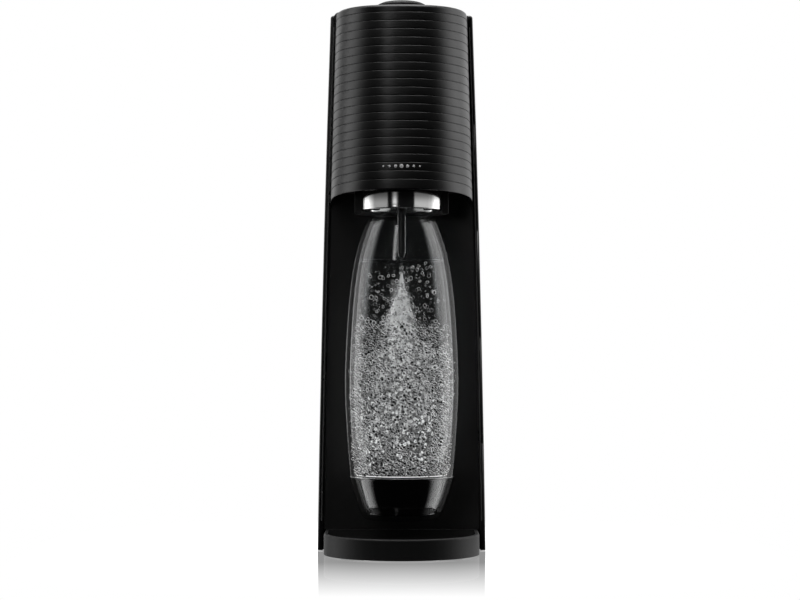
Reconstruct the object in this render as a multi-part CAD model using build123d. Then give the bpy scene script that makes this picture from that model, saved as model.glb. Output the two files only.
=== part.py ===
"""Soda carbonator: tower with gas cylinder, ribbed head, tilting bottle holder and clear bottle.

Millimetres, +Z up, the front faces -Y, origin on the floor under the middle of the footprint.
"""
from build123d import *
import math
import os

# ---- overall envelope ----
WIDTH = 134.0                 # across the side panels at the floor
DEPTH = 190.0                 # from the foot's nose to the rear cover
HEIGHT = 431.0                # floor to the top of the button
FRONT_Y = -DEPTH / 2
BACK_Y = DEPTH / 2

# ---- tower ----
PANEL_BOTTOM = 0.6
TOWER_TOP = 426.5
TOP_HALF_WIDTH = 56.5
SIDE_BOW = 1.05               # how far the sides bulge out of a straight taper
TOP_BACK_Y = 86.5
BACK_BOW = 1.0
BACK_RADIUS = 20.0            # upright rear corners
PANEL_WALL = 2.8
RIM_WIDTH = 4.4               # rounded front edge of each side panel
RIM_DEPTH = 7.0
RIM_ROUND = 1.9
TOP_CORNER = 2.5
COVER_HALF = 34.0             # half the width of the removable rear cover
COVER_GAP = 0.4
COVER_BOTTOM = 6.0
COVER_TOP = 408.0
COVER_WALL = 2.6
COVER_FLANGE = 2.4
FLANGE_REACH = 7.0
CAP_THICK = 2.6
CAP_TOP = TOWER_TOP - 0.3
SHADOW_GAP = 0.7

# ---- recess behind the bottle ----
RECESS_EDGE_Y = 3.2
RECESS_MID_Y = 8.0
RECESS_THICK = 2.4
RECESS_TOP = 289.0

# ---- foot ----
FOOT_BOTTOM = 0.8
FOOT_TOP = 16.9
FOOT_HALF = 60.7
FOOT_ROUND = 1.4
FOOT_WALL = 2.6
SKIRT_GAP = 0.4               # between the foot and the panels round it
DECK_INSET = 3.2
DECK_THICK = 1.2
PLATE_THICK = 2.0
PAD_RADIUS = 7.0
PAD_SINK = 0.6
PAD_PLACES = [(-40.0, -62.0), (40.0, -62.0), (-46.0, 68.0), (46.0, 68.0)]
BASE_SCREW_PLACES = [(-26.0, -72.0), (26.0, -72.0), (-50.0, 40.0), (50.0, 40.0)]
SCREW_R = 1.5
SCREW_HEAD_R = 3.0

# ---- head cover ----
HEAD_LOW_Z = 270.0            # the two heights between which the head is lofted
HEAD_HIGH_Z = 440.0
HEAD_LOW_HALF = 56.35
HEAD_HIGH_HALF = 51.35
HEAD_LOW_DEPTH = 90.6
HEAD_HIGH_DEPTH = 82.0
HEAD_POWER = 2.4              # exponent of the superellipse that the head's plan follows
HEAD_TUCK = 2.4               # how far the head reaches in between the rims
HEAD_WALL = 2.6
HEAD_BOTTOM_FRONT = 281.4
HEAD_BOTTOM_SEAM = 277.4
HEAD_TOP_FRONT = 422.6
HEAD_TOP_SEAM = 426.7
HEAD_EDGE_ROUND = 2.6
GROOVE_COUNT = 21
GROOVE_LOW_Z = 289.5          # lowest and highest groove at the front
GROOVE_HIGH_Z = 416.9
GROOVE_LOW_SEAM = 285.2       # the same grooves where they meet the seam
GROOVE_HIGH_SEAM = 420.2
GROOVE_HEIGHT = 1.1
GROOVE_DEPTH = 0.8
FLOOR_Z = 284.6
FLOOR_THICK = 2.0

# ---- bottle and holder, all around one upright axis ----
BOTTLE_Y = -43.0
BOTTLE_WALL = 3.6
CUP_WALL = 2.0
BOTTLE_BOTTOM = 28.7
CUP_TOP = 62.1
MOUTH_TOP = 290.0
MOUTH_R = 18.0
MOUTH_BORE = 15.6
RELEASE_TRAVEL = 8.0
THROAT_R = 20.5
BEAD_R = 23.0
BOTTLE_CURVE = [              # radius and height down the bottle's side
    (23.8, 267.0),
    (30.3, 253.2),
    (37.3, 228.4),
    (42.0, 191.0),
    (44.6, 137.0),
    (43.1, 96.0),
    (40.4, CUP_TOP),
]
BOTTLE_FOOT_R = 27.0
BOTTLE_CUP_R = 38.0           # the bottle where it comes out of the cup
JAW_TOP = 272.4
JAW_THICK = 3.0
JAW_IN = THROAT_R + 0.4
JAW_OUT = 25.5
JAW_TRAVEL = 3.0
JAW_HALF_ANGLE = 35.0
JAW_TAB_ANGLE = 12.0
RING_BOTTOM = 268.2
RING_TOP = 290.0
RING_OUT = 31.65
RING_IN = 29.2
COLLAR_BOTTOM = 265.6
COLLAR_OUT = 36.4
TILT_Z = 305.0
PIVOT_R = 3.0
RUNNING = 0.06                # radial clearance of running fits
BORE_CEILING = 292.9
HEAD_BLOCK_R = 22.0
HEAD_BLOCK_TOP = 318.0
NOZZLE_R = 3.5
NOZZLE_TIP_Z = 232.0
RELIEF_X = 0.0
RELIEF_Y = BOTTLE_Y + 12.0

# ---- button and lever ----
BUTTON_R = 19.0
BUTTON_TRAVEL = 6.0
BUTTON_SKIRT_Z = 417.0
BUTTON_WALL = 1.8
STEM_R = 4.0
LEVER_BOTTOM = 399.0
LEVER_TOP = 406.0
LEVER_HALF = 5.0
LEVER_PIVOT = (74.0, 402.5)
LEVER_GAP = 0.3
GUIDE_LOW = 408.0
GUIDE_THICK = 2.2

# ---- chassis and gas side ----
CHASSIS_FRONT = 10.4
CHASSIS_WALL = 2.6
CHASSIS_HALF = 42.5
CHASSIS_BACK = 79.0
CHASSIS_TOP = 412.0
CYL_Y = 46.0
CYL_R = 30.0
CYL_BOTTOM = 24.0
CYL_SHOULDER = 312.0
CYL_NECK_Z = 345.0
CYL_WALL = 2.6
BLOCK_LOW = 376.0
BLOCK_HIGH = 392.0
HANDLE_PIVOT = (50.0, 384.0)
HANDLE_LENGTH = 25.0
HANDLE_REST_ANGLE = -60.0
VALVE_TOP = 380.0
PIN_R = 2.0
HOSE_R = 2.8
HOSE_END_Z = 385.0
ELBOW_X = 43.6
HOSE_POINTS = [
    (ELBOW_X, -33.0, TILT_Z),
    (ELBOW_X, -6.0, TILT_Z),
    (ELBOW_X, -6.0, 358.0),
    (18.0, -5.0, HOSE_END_Z),
    (18.0, 24.5, HOSE_END_Z),
]
CHASSIS_SCREW_PLACES = [(-49.0, 24.0), (49.0, 24.0), (-49.0, 60.0), (49.0, 60.0)]
HEAD_SCREW_PLACES = [(-30.0, 300.0), (30.0, 300.0), (-30.0, 338.0), (30.0, 338.0)]
BRACKET_IN = 37.4
BRACKET_OUT = 39.8
PIN_HEAD = 1.6


# ---- small helpers ----
def block(x0, x1, y0, y1, z0, z1):
    """Box between two corners."""
    centre = Pos((x0 + x1) / 2, (y0 + y1) / 2, (z0 + z1) / 2)
    return centre * Box(x1 - x0, y1 - y0, z1 - z0)


def rod(radius, z0, z1, x=0.0, y=0.0):
    """Upright cylinder."""
    return Pos(x, y, (z0 + z1) / 2) * Cylinder(radius, z1 - z0)


def tube(r_in, r_out, z0, z1, x=0.0, y=0.0):
    """Upright tube."""
    return rod(r_out, z0, z1, x, y) - rod(r_in, z0 - 1, z1 + 1, x, y)


def rod_x(radius, x0, x1, y, z):
    """Cylinder lying along X."""
    return Pos((x0 + x1) / 2, y, z) * Rot(0, 90, 0) * Cylinder(radius, x1 - x0)


def rod_y(radius, y0, y1, x, z):
    """Cylinder lying along Y."""
    return Pos(x, (y0 + y1) / 2, z) * Rot(90, 0, 0) * Cylinder(radius, y1 - y0)


def turned(outline, x=0.0, y=0.0):
    """Solid of revolution about an upright axis, from a closed outline of (radius, z) edges."""
    face = Plane.XZ * make_face(outline)
    return Pos(x, y, 0) * revolve(face, Axis.Z)


def both_sides(solid):
    """A solid and its mirror image across the middle plane."""
    return solid + mirror(solid, about=Plane.YZ)


def screw(z_head, length, x, y):
    """Screw that points up, head underneath."""
    return rod(SCREW_HEAD_R, z_head, z_head + 1.6, x, y) + rod(SCREW_R, z_head + 1.6, z_head + length, x, y)


# ---- tower form ----
def bowed(low, high, bow, z):
    """A taper from low at the floor to high at the top, with a shallow bulge between."""
    t = (z - PANEL_BOTTOM) / (TOWER_TOP - PANEL_BOTTOM)
    return low + (high - low) * t + 4 * bow * t * (1 - t)


def half_width(z):
    return bowed(WIDTH / 2, TOP_HALF_WIDTH, SIDE_BOW, z)


def back_edge(z):
    return bowed(BACK_Y, TOP_BACK_Y, BACK_BOW, z)


def tower_front(inset, z_low, z_high):
    """Front view of the tower, taken in by inset on both sides."""
    z_mid = (z_low + z_high) / 2
    right = [(half_width(z) - inset, z) for z in (z_low, z_mid, z_high)]
    left = [(-x, z) for x, z in right]
    ends = Line(right[2], left[2]) + Line(left[0], right[0])
    return make_face(ThreePointArc(*right) + ThreePointArc(*left) + ends)


def tower_solid(inset, z_low, z_high, front=0.0):
    """The tower's outer form, taken in by inset on the sides and back."""
    z_mid = (z_low + z_high) / 2
    back = [(back_edge(z) - inset, z) for z in (z_low, z_mid, z_high)]
    side = make_face(ThreePointArc(*back) + Polyline(back[2], (front, z_high), (front, z_low), back[0]))
    face = tower_front(inset, z_low, z_high)
    solid = extrude(Plane.XZ * face, DEPTH, both=True) & extrude(Plane.YZ * side, WIDTH, both=True)
    upright = solid.edges().filter_by(lambda e: e.length > 0.8 * (z_high - z_low)).group_by(Axis.Y)[-1]
    return fillet(upright, BACK_RADIUS - inset)


def rounded_tower():
    """The whole outer form, with its two top corners rounded."""
    face = tower_front(0, PANEL_BOTTOM, TOWER_TOP)
    face = fillet(face.vertices().group_by(Axis.Y)[-1], TOP_CORNER)
    return tower_solid(0, PANEL_BOTTOM, TOWER_TOP) & extrude(Plane.XZ * face, DEPTH, both=True)


def side_panels():
    """Left and right side panels, with a thick rounded front rim and a wrapped rear corner."""
    outer = rounded_tower()
    core = tower_solid(PANEL_WALL, PANEL_BOTTOM - 4, TOWER_TOP + 4, front=RIM_DEPTH)
    slot = tower_solid(RIM_WIDTH, PANEL_BOTTOM - 4, TOWER_TOP + 4, front=-5)
    shell = outer - core - slot
    shell -= block(-COVER_HALF - COVER_GAP, COVER_HALF + COVER_GAP, -10, DEPTH, -10, HEIGHT)
    right = shell & block(0, WIDTH, -10, DEPTH, -10, HEIGHT)
    front = right.edges().filter_by_position(Axis.Y, -0.01, 0.01)
    right = fillet(front.filter_by(lambda e: e.length > RIM_WIDTH + 0.5), RIM_ROUND)
    return mirror(right, about=Plane.YZ), right


def rear_cover():
    """Removable back: a bowed skin with two stiffening flanges and a thumb recess."""
    zone = block(-COVER_HALF, COVER_HALF, 60, DEPTH, COVER_BOTTOM, COVER_TOP)
    inner = tower_solid(COVER_WALL, PANEL_BOTTOM - 4, TOWER_TOP + 4, front=-5)
    outer = tower_solid(0, PANEL_BOTTOM, TOWER_TOP)
    skin = (outer - inner) & zone
    deep = tower_solid(COVER_WALL + FLANGE_REACH, PANEL_BOTTOM - 4, TOWER_TOP + 4, front=-5)
    flange = (outer - deep) & block(COVER_HALF - COVER_FLANGE, COVER_HALF, 60, DEPTH, FOOT_TOP + 1, COVER_TOP)
    thumb = outer - tower_solid(1.2, PANEL_BOTTOM - 4, TOWER_TOP + 4, front=-5)
    thumb &= Pos(0, BACK_Y, COVER_TOP - 22) * Rot(90, 0, 0) * extrude(SlotOverall(36, 14), 40, both=True)
    return skin + both_sides(flange) - thumb


def tower_cap():
    """Top plate between the side panels, with an apron down to the rear cover."""
    plate = tower_solid(PANEL_WALL + SHADOW_GAP, PANEL_BOTTOM, CAP_TOP, front=RIM_DEPTH + SHADOW_GAP)
    plate += tower_solid(RIM_WIDTH + SHADOW_GAP, PANEL_BOTTOM, CAP_TOP, front=HEAD_TUCK + SHADOW_GAP)
    plate &= block(-WIDTH, WIDTH, 0, DEPTH, CAP_TOP - CAP_THICK, CAP_TOP)
    strip = block(-COVER_HALF, COVER_HALF, 60, DEPTH, COVER_TOP + COVER_GAP, CAP_TOP)
    outer = tower_solid(0, PANEL_BOTTOM, TOWER_TOP)
    apron = (outer - tower_solid(COVER_WALL, PANEL_BOTTOM - 4, TOWER_TOP + 4, front=-5)) & strip
    bridge = block(-COVER_HALF, COVER_HALF, 60, DEPTH, CAP_TOP - CAP_THICK, CAP_TOP) & outer
    cap = plate + bridge + apron
    rear_edge = cap.edges().filter_by(Axis.X).filter_by_position(Axis.Z, CAP_TOP - 0.1, CAP_TOP + 0.1)
    return fillet(rear_edge.group_by(Axis.Y)[-1], 1.8)


def recess_panel():
    """Glossy concave wall behind the bottle."""
    half = half_width(PANEL_BOTTOM)
    front = ThreePointArc((-half, RECESS_EDGE_Y), (0, RECESS_MID_Y), (half, RECESS_EDGE_Y))
    rear = Polyline(
        (half, RECESS_EDGE_Y),
        (half, RECESS_EDGE_Y + RECESS_THICK),
    ) + ThreePointArc(
        (half, RECESS_EDGE_Y + RECESS_THICK),
        (0, RECESS_MID_Y + RECESS_THICK),
        (-half, RECESS_EDGE_Y + RECESS_THICK),
    ) + Line((-half, RECESS_EDGE_Y + RECESS_THICK), (-half, RECESS_EDGE_Y))
    slab = Pos(0, 0, FOOT_TOP) * extrude(make_face(front + rear), RECESS_TOP - FOOT_TOP)
    return slab & tower_solid(RIM_WIDTH + 0.1, PANEL_BOTTOM, TOWER_TOP, front=-5)


# ---- foot ----
def foot_plan(inset):
    """D-shaped nose with parallel sides, running back under the tower."""
    half = FOOT_HALF - inset
    nose = FRONT_Y + inset
    shoulder = FRONT_Y + FOOT_HALF
    rear = BACK_Y - 6.0 - inset
    outline = ThreePointArc((-half, shoulder), (0, nose), (half, shoulder))
    outline += Polyline((half, shoulder), (half, rear), (-half, rear), (-half, shoulder))
    face = make_face(outline)
    return fillet(face.vertices().group_by(Axis.Y)[-1], BACK_RADIUS - 6.0)


def base_foot():
    """Hollow foot moulding with a shallow pocket on top for the deck panel."""
    body = Pos(0, 0, FOOT_BOTTOM) * extrude(foot_plan(0), FOOT_TOP - FOOT_BOTTOM)
    body = fillet(body.edges().group_by(Axis.Z)[-1], FOOT_ROUND)
    skirt = tower_solid(PANEL_WALL + SKIRT_GAP, PANEL_BOTTOM, TOWER_TOP)
    body += skirt & block(-WIDTH, WIDTH, RIM_DEPTH + SKIRT_GAP, DEPTH, FOOT_BOTTOM, FOOT_TOP)
    floor_z = FOOT_TOP - DECK_THICK - FOOT_WALL
    body -= Pos(0, 0, FOOT_BOTTOM) * extrude(foot_plan(FOOT_WALL), floor_z - FOOT_BOTTOM)
    body -= deck_solid(0.1)
    for x, y in BASE_SCREW_PLACES:
        body += rod(4.0, FOOT_BOTTOM + PLATE_THICK, floor_z, x, y)
        body -= rod(SCREW_R, FOOT_BOTTOM, FOOT_BOTTOM + 9.0, x, y)
    return body


def deck_solid(grow):
    """The deck panel's form: the nose of the foot, inset, back to the recess."""
    plan = foot_plan(DECK_INSET - grow)
    slab = Pos(0, 0, FOOT_TOP - DECK_THICK) * extrude(plan, DECK_THICK)
    return slab & block(-WIDTH, WIDTH, -DEPTH, -0.5 + grow, 0, FOOT_TOP)


def base_plate():
    """Bottom cover, set inside the foot's wall."""
    plate = Pos(0, 0, FOOT_BOTTOM) * extrude(foot_plan(FOOT_WALL + 0.1), PLATE_THICK)
    for x, y in PAD_PLACES:
        plate -= rod(PAD_RADIUS, FOOT_BOTTOM - 1, FOOT_BOTTOM + PAD_SINK, x, y)
    for x, y in BASE_SCREW_PLACES:
        plate -= rod(SCREW_R, 0, 10, x, y)
        plate -= rod(SCREW_HEAD_R, 0, FOOT_BOTTOM + 1.6, x, y)
    return plate


def rubber_feet():
    """Four pads glued into the bottom cover."""
    pads = []
    for x, y in PAD_PLACES:
        pad = rod(PAD_RADIUS - 0.1, 0, FOOT_BOTTOM + PAD_SINK, x, y)
        pads.append(chamfer(pad.edges().group_by(Axis.Z)[0], 0.5))
    return Compound(children=pads)


def base_screws():
    screws = [screw(FOOT_BOTTOM, 9.0, x, y) for x, y in BASE_SCREW_PLACES]
    return Compound(children=screws)


# ---- head cover ----
def head_half(z):
    t = (z - HEAD_LOW_Z) / (HEAD_HIGH_Z - HEAD_LOW_Z)
    return HEAD_LOW_HALF + (HEAD_HIGH_HALF - HEAD_LOW_HALF) * t


def head_depth(z):
    t = (z - HEAD_LOW_Z) / (HEAD_HIGH_Z - HEAD_LOW_Z)
    return HEAD_LOW_DEPTH + (HEAD_HIGH_DEPTH - HEAD_LOW_DEPTH) * t


def head_plan(z, inset, tuck):
    """Superellipse front half at height z, closed by a straight back."""
    half = head_half(z) - inset
    depth = head_depth(z) - inset
    points = []
    for step in range(13):
        angle = math.pi * step / 12
        c, s = math.cos(angle), math.sin(angle)
        x = half * math.copysign(abs(c) ** (2 / HEAD_POWER), c)
        points.append((x, -depth * abs(s) ** (2 / HEAD_POWER)))
    curve = Spline(*points, tangents=[(0, -1), (0, 1)])
    outline = curve + Polyline((-half, 0), (-half, tuck), (half, tuck), (half, 0))
    return Pos(0, 0, z) * make_face(outline)


def tilted_slab(z_front, z_seam, thick):
    """Wide slab whose underside passes through z_front at the nose and z_seam at the seam."""
    nose = -head_depth(z_front)
    run = 120.0
    slope = (z_seam - z_front) / -nose
    low = [(-run, z_seam - slope * run), (run, z_seam + slope * run)]
    side = Polyline(low[0], low[1], (run, low[1][1] + thick), (-run, low[0][1] + thick), low[0])
    return extrude(Plane.YZ * make_face(side), WIDTH, both=True)


def head_solid(inset, tuck=HEAD_TUCK, roof=0.0):
    """The head's form, taken in by inset, between its two sloping ends."""
    form = loft([head_plan(HEAD_LOW_Z, inset, tuck), head_plan(HEAD_HIGH_Z, inset, tuck)], ruled=True)
    form -= tilted_slab(HEAD_TOP_FRONT - roof, HEAD_TOP_SEAM - roof, 60)
    return form


def groove_cutters():
    """Fan of shallow horizontal grooves round the head."""
    core = head_solid(GROOVE_DEPTH, tuck=HEAD_TUCK + 5)
    cutters = []
    for index in range(GROOVE_COUNT):
        t = index / (GROOVE_COUNT - 1)
        front = GROOVE_LOW_Z + (GROOVE_HIGH_Z - GROOVE_LOW_Z) * t - GROOVE_HEIGHT / 2
        seam = GROOVE_LOW_SEAM + (GROOVE_HIGH_SEAM - GROOVE_LOW_SEAM) * t - GROOVE_HEIGHT / 2
        cutters.append(tilted_slab(front, seam, GROOVE_HEIGHT) - core)
    return cutters


def head_cover():
    """Ribbed head shell, open below and behind, with the button hole in its top."""
    outer = head_solid(0) - tilted_slab(HEAD_BOTTOM_FRONT - 60, HEAD_BOTTOM_SEAM - 60, 60)
    top = outer.edges().filter_by(lambda e: e.bounding_box().min.Z > HEAD_TOP_FRONT - 2)
    outer = fillet(top.filter_by(lambda e: e.center().Y < 0), HEAD_EDGE_ROUND)
    inner = head_solid(HEAD_WALL, tuck=HEAD_TUCK + 5, roof=HEAD_WALL)
    shell = outer - inner - rod(BUTTON_R + 1.6, HEAD_BOTTOM_FRONT, HEIGHT + 5, y=BOTTLE_Y)
    return shell - groove_cutters()


def head_floor():
    """Plate that closes the head underneath, cut away where the holder swings."""
    inner = head_solid(HEAD_WALL + 0.1, tuck=HEAD_TUCK)
    plate = inner & block(-WIDTH, WIDTH, -DEPTH, DEPTH, FLOOR_Z, FLOOR_Z + FLOOR_THICK)
    swing = COLLAR_OUT + 1.2
    plate -= rod(swing, 0, HEIGHT, y=BOTTLE_Y)
    plate -= block(-swing, swing, -DEPTH, BOTTLE_Y, 0, HEIGHT)
    return plate


def button_bezel():
    """Trim ring round the button, following the sloping top."""
    r_in, r_out = BUTTON_R + 0.5, BUTTON_R + 1.5
    ring = tube(r_in, r_out, HEAD_TOP_FRONT - 3, HEIGHT, y=BOTTLE_Y)
    lip = tube(r_in, r_out + 1.2, HEAD_TOP_FRONT - 3, HEIGHT, y=BOTTLE_Y)
    lip -= tilted_slab(HEAD_TOP_FRONT - 59.95, HEAD_TOP_SEAM - 59.95, 60)
    ring += lip
    return ring - tilted_slab(HEAD_TOP_FRONT + 0.7, HEAD_TOP_SEAM + 0.7, 60)


# ---- button, guide and lever ----
def carbonating_button():
    """Domed push button with a skirt."""
    shoulder = HEIGHT - 3.4
    outline = Polyline((0, HEIGHT), (10.5, HEIGHT))
    outline += ThreePointArc((10.5, HEIGHT), (15.3, HEIGHT - 1.2), (BUTTON_R, shoulder))
    outline += Polyline(
        (BUTTON_R, shoulder),
        (BUTTON_R, BUTTON_SKIRT_Z),
        (BUTTON_R - BUTTON_WALL, BUTTON_SKIRT_Z),
        (BUTTON_R - BUTTON_WALL, shoulder - 1.4),
        (0, shoulder - 1.4),
        (0, HEIGHT),
    )
    return turned(outline, y=BOTTLE_Y)


def stem_bottom():
    return LEVER_TOP + LEVER_GAP


def button_stem():
    """Plunger under the button, with a collar that the spring pushes on."""
    top = HEIGHT - 3.4 - 1.4
    return rod(STEM_R, stem_bottom(), top, y=BOTTLE_Y) + rod(10.0, top - 1.2, top, y=BOTTLE_Y)


def button_guide():
    """Guide plate for the plunger, hung from the head's roof on four posts."""
    plate = block(-21, 21, BOTTLE_Y - 21, BOTTLE_Y + 21, GUIDE_LOW, GUIDE_LOW + GUIDE_THICK)
    guide = plate + rod(6.2, GUIDE_LOW, GUIDE_LOW + 6, y=BOTTLE_Y)
    for x in (-17.5, 17.5):
        for y in (-17.5, 17.5):
            guide += rod(2.6, GUIDE_LOW, HEIGHT, x, BOTTLE_Y + y)
    guide &= head_solid(HEAD_WALL, roof=HEAD_WALL)
    return guide - rod(STEM_R + RUNNING, 0, HEIGHT + 5, y=BOTTLE_Y)


def coil_spring(radius, wire, z_low, z_high, turns, x, y):
    """Round-wire compression spring."""
    rise = z_high - z_low - wire
    path = Pos(x, y, z_low + wire / 2) * Helix(rise / turns, rise, radius)
    profile = Plane(origin=path @ 0, z_dir=path % 0) * Circle(wire / 2)
    return sweep(profile, path, is_frenet=True)


def button_spring():
    low = GUIDE_LOW + GUIDE_THICK
    return coil_spring(8.2, 1.2, low, HEIGHT - 3.4 - 1.4 - 1.2, 4, 0, BOTTLE_Y)


def actuator_lever():
    """Long lever from under the button to its pivot behind the valve."""
    y_pivot, z_pivot = LEVER_PIVOT
    bar = block(-LEVER_HALF, LEVER_HALF, BOTTLE_Y - 7, y_pivot, LEVER_BOTTOM, LEVER_TOP)
    bar += rod(7.5, LEVER_BOTTOM, LEVER_TOP, y=BOTTLE_Y)
    bar += rod_x(5.0, -12, 12, y_pivot, z_pivot)
    bar -= rod_x(2.0 + RUNNING, -20, 20, y_pivot, z_pivot)
    bar -= rod(2.0, 0, HEIGHT, y=CYL_Y)
    return bar


def valve_adjust_screw():
    """Screw in the lever that presses the valve pin."""
    low = pin_top() + LEVER_GAP
    return rod(2.0, low, LEVER_TOP + 1, y=CYL_Y) + rod(3.6, LEVER_TOP, LEVER_TOP + 2.4, y=CYL_Y)


def lever_pivot_pin():
    y_pivot, z_pivot = LEVER_PIVOT
    pin = rod_x(2.0, -CHASSIS_HALF, CHASSIS_HALF, y_pivot, z_pivot)
    return pin + rod_x(3.4, CHASSIS_HALF, CHASSIS_HALF + 1.4, y_pivot, z_pivot)


# ---- chassis ----
def chassis():
    """Upright channel that everything is fixed to, open at the back."""
    back_of_front = CHASSIS_FRONT + CHASSIS_WALL
    frame = block(-CHASSIS_HALF, CHASSIS_HALF, CHASSIS_FRONT, CHASSIS_BACK, FOOT_TOP, CHASSIS_TOP)
    inside = CHASSIS_HALF - CHASSIS_WALL
    frame -= block(-inside, inside, back_of_front, DEPTH, 0, HEIGHT)
    frame -= block(-10, 30, 0, back_of_front + 1, 380, HEIGHT)
    shelves = block(-WIDTH, WIDTH, back_of_front, 66, 60, 63)
    for z in (150.0, 240.0, 330.0, 404.0):
        shelves += block(-WIDTH, WIDTH, back_of_front, 66, z, z + 3)
    shelves += block(-54, 54, back_of_front, 76, FOOT_TOP, FOOT_TOP + 3)
    shelves -= block(-inside, inside, 0, DEPTH, 0, HEIGHT)
    frame += shelves & tower_solid(PANEL_WALL + 0.1, PANEL_BOTTOM, TOWER_TOP)
    frame -= rod_x(2.0, -WIDTH, WIDTH, *LEVER_PIVOT)
    for x, y in CHASSIS_SCREW_PLACES:
        frame -= rod(SCREW_R, 0, 40, x, y)
    for x, z in HEAD_SCREW_PLACES:
        frame -= rod_y(SCREW_R, 0, 30, x, z)
    return frame


def chassis_screws():
    """Screws that hold the channel down on the foot."""
    seat = FOOT_TOP + 3
    group = []
    for x, y in CHASSIS_SCREW_PLACES:
        shank = rod(SCREW_R, FOOT_TOP, seat, x, y)
        group.append(shank + rod(SCREW_HEAD_R, seat, seat + 1.8, x, y))
    return Compound(children=group)


def head_bracket():
    """Yoke that reaches forward from the channel and carries the tilt pivots."""
    low, high = FLOOR_Z + FLOOR_THICK + 3, 345.0
    yoke = block(-BRACKET_OUT, BRACKET_OUT, -58, CHASSIS_FRONT, low, high)
    yoke -= block(-BRACKET_IN, BRACKET_IN, -60, CHASSIS_FRONT - CHASSIS_WALL, 0, high - 2.6)
    yoke -= block(-BRACKET_IN, BRACKET_IN, -14, CHASSIS_FRONT - CHASSIS_WALL, 0, HEIGHT)
    yoke = fillet(yoke.edges().filter_by(Axis.X).group_by(Axis.Y)[0], 1.0)
    yoke -= rod_x(PIVOT_R, -WIDTH, WIDTH, BOTTLE_Y, TILT_Z)
    for x, z in HEAD_SCREW_PLACES:
        yoke -= rod_y(SCREW_R, -10, 30, x, z)
    return yoke


def head_screws():
    """Screws that hold the yoke to the channel."""
    seat = CHASSIS_FRONT - CHASSIS_WALL
    group = []
    for x, z in HEAD_SCREW_PLACES:
        shank = rod_y(SCREW_R, seat, CHASSIS_FRONT + CHASSIS_WALL, x, z)
        group.append(shank + rod_y(SCREW_HEAD_R, seat - 1.8, seat, x, z))
    return Compound(children=group)


# ---- gas side ----
def cylinder_outline(inset):
    """Half section of the gas cylinder, taken in by inset."""
    radius = CYL_R - inset
    low = CYL_BOTTOM + inset
    neck = 12.0 if inset == 0 else 8.0
    outline = Polyline((0, low), (radius - 8, low))
    outline += ThreePointArc((radius - 8, low), (radius - 2.4, low + 2.4), (radius, low + 8))
    outline += Line((radius, low + 8), (radius, CYL_SHOULDER))
    shoulder = (radius - 5.6, CYL_SHOULDER + 13.5)
    outline += ThreePointArc((radius, CYL_SHOULDER), shoulder, (neck, CYL_SHOULDER + 20))
    outline += Polyline((neck, CYL_SHOULDER + 20), (neck, CYL_NECK_Z), (0, CYL_NECK_Z), (0, low))
    return outline


def gas_cylinder():
    """Pressed aluminium gas bottle with an open neck for the valve."""
    return turned(cylinder_outline(0), y=CYL_Y) - turned(cylinder_outline(CYL_WALL), y=CYL_Y)


def pin_top():
    return VALVE_TOP + 4.0


def cylinder_valve():
    """Brass valve screwed into the cylinder's neck."""
    valve = rod(8.0, CYL_NECK_Z - 12, CYL_NECK_Z, y=CYL_Y)
    valve += Pos(0, CYL_Y, CYL_NECK_Z) * extrude(RegularPolygon(12.5, 6), 7)
    valve += rod(9.0, CYL_NECK_Z + 7, VALVE_TOP, y=CYL_Y)
    valve = chamfer(valve.edges().group_by(Axis.Z)[-1], 0.8)
    return valve - rod(PIN_R + RUNNING, VALVE_TOP - 14, VALVE_TOP + 1, y=CYL_Y)


def cylinder_collar():
    """Coloured grip collar under the valve's head."""
    collar = tube(9.1, 13.4, CYL_NECK_Z + 8, CYL_NECK_Z + 15, y=CYL_Y)
    return chamfer(collar.edges().filter_by(GeomType.CIRCLE), 0.6)


def valve_pin():
    return rod(PIN_R, VALVE_TOP - 11, pin_top(), y=CYL_Y)


def quick_connect_block():
    """Manifold that the cylinder's valve plugs up into."""
    body = block(-26, 26, 28, 66, BLOCK_LOW, BLOCK_HIGH)
    body += block(-26, -11, CHASSIS_FRONT + CHASSIS_WALL, 30, BLOCK_LOW, BLOCK_HIGH)
    body -= rod(9.7, BLOCK_LOW - 1, VALVE_TOP + 2.4, y=CYL_Y)
    body -= rod(4.4, BLOCK_LOW, BLOCK_HIGH + 1, y=CYL_Y)
    body -= both_sides(rod_x(2.0, 20, 40, *HANDLE_PIVOT))
    body -= rod_y(2.5, 20, 36, 18, HOSE_END_Z)
    return body


def connector_seal():
    """Ring seal above the valve."""
    return tube(5.4, 9.6, VALVE_TOP + 0.4, VALVE_TOP + 2.4, y=CYL_Y)


def handle_pivot_pins():
    return Compound(children=[rod_x(2.0, 20, 30.6, *HANDLE_PIVOT), rod_x(2.0, -30.6, -20, *HANDLE_PIVOT)])


def lock_handle():
    """Bail that locks the cylinder: two arms and a cross bar, hanging back and down."""
    y_pivot, z_pivot = HANDLE_PIVOT
    arm = rod_x(5.0, 26.4, 29.6, 0, 0) + block(26.4, 29.6, 0, HANDLE_LENGTH, -3.5, 3.5)
    bar = rod_x(3.5, -29.6, 29.6, HANDLE_LENGTH, 0)
    bail = both_sides(arm) + bar
    bail -= rod_x(2.0 + RUNNING, -40, 40, 0, 0)
    return Pos(0, y_pivot, z_pivot) * Rot(HANDLE_REST_ANGLE, 0, 0) * bail


def cylinder_cradle():
    """Seat that centres the foot of the cylinder, open to the back."""
    cradle = rod(CYL_R + 2.8, FOOT_TOP, FOOT_TOP + 2.4, y=CYL_Y)
    cup = tube(CYL_R + 0.6, CYL_R + 2.8, FOOT_TOP, FOOT_TOP + 22, y=CYL_Y)
    return cradle + (cup & block(-CYL_R - 5, CYL_R + 5, 0, CYL_Y, 0, 60))


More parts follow.
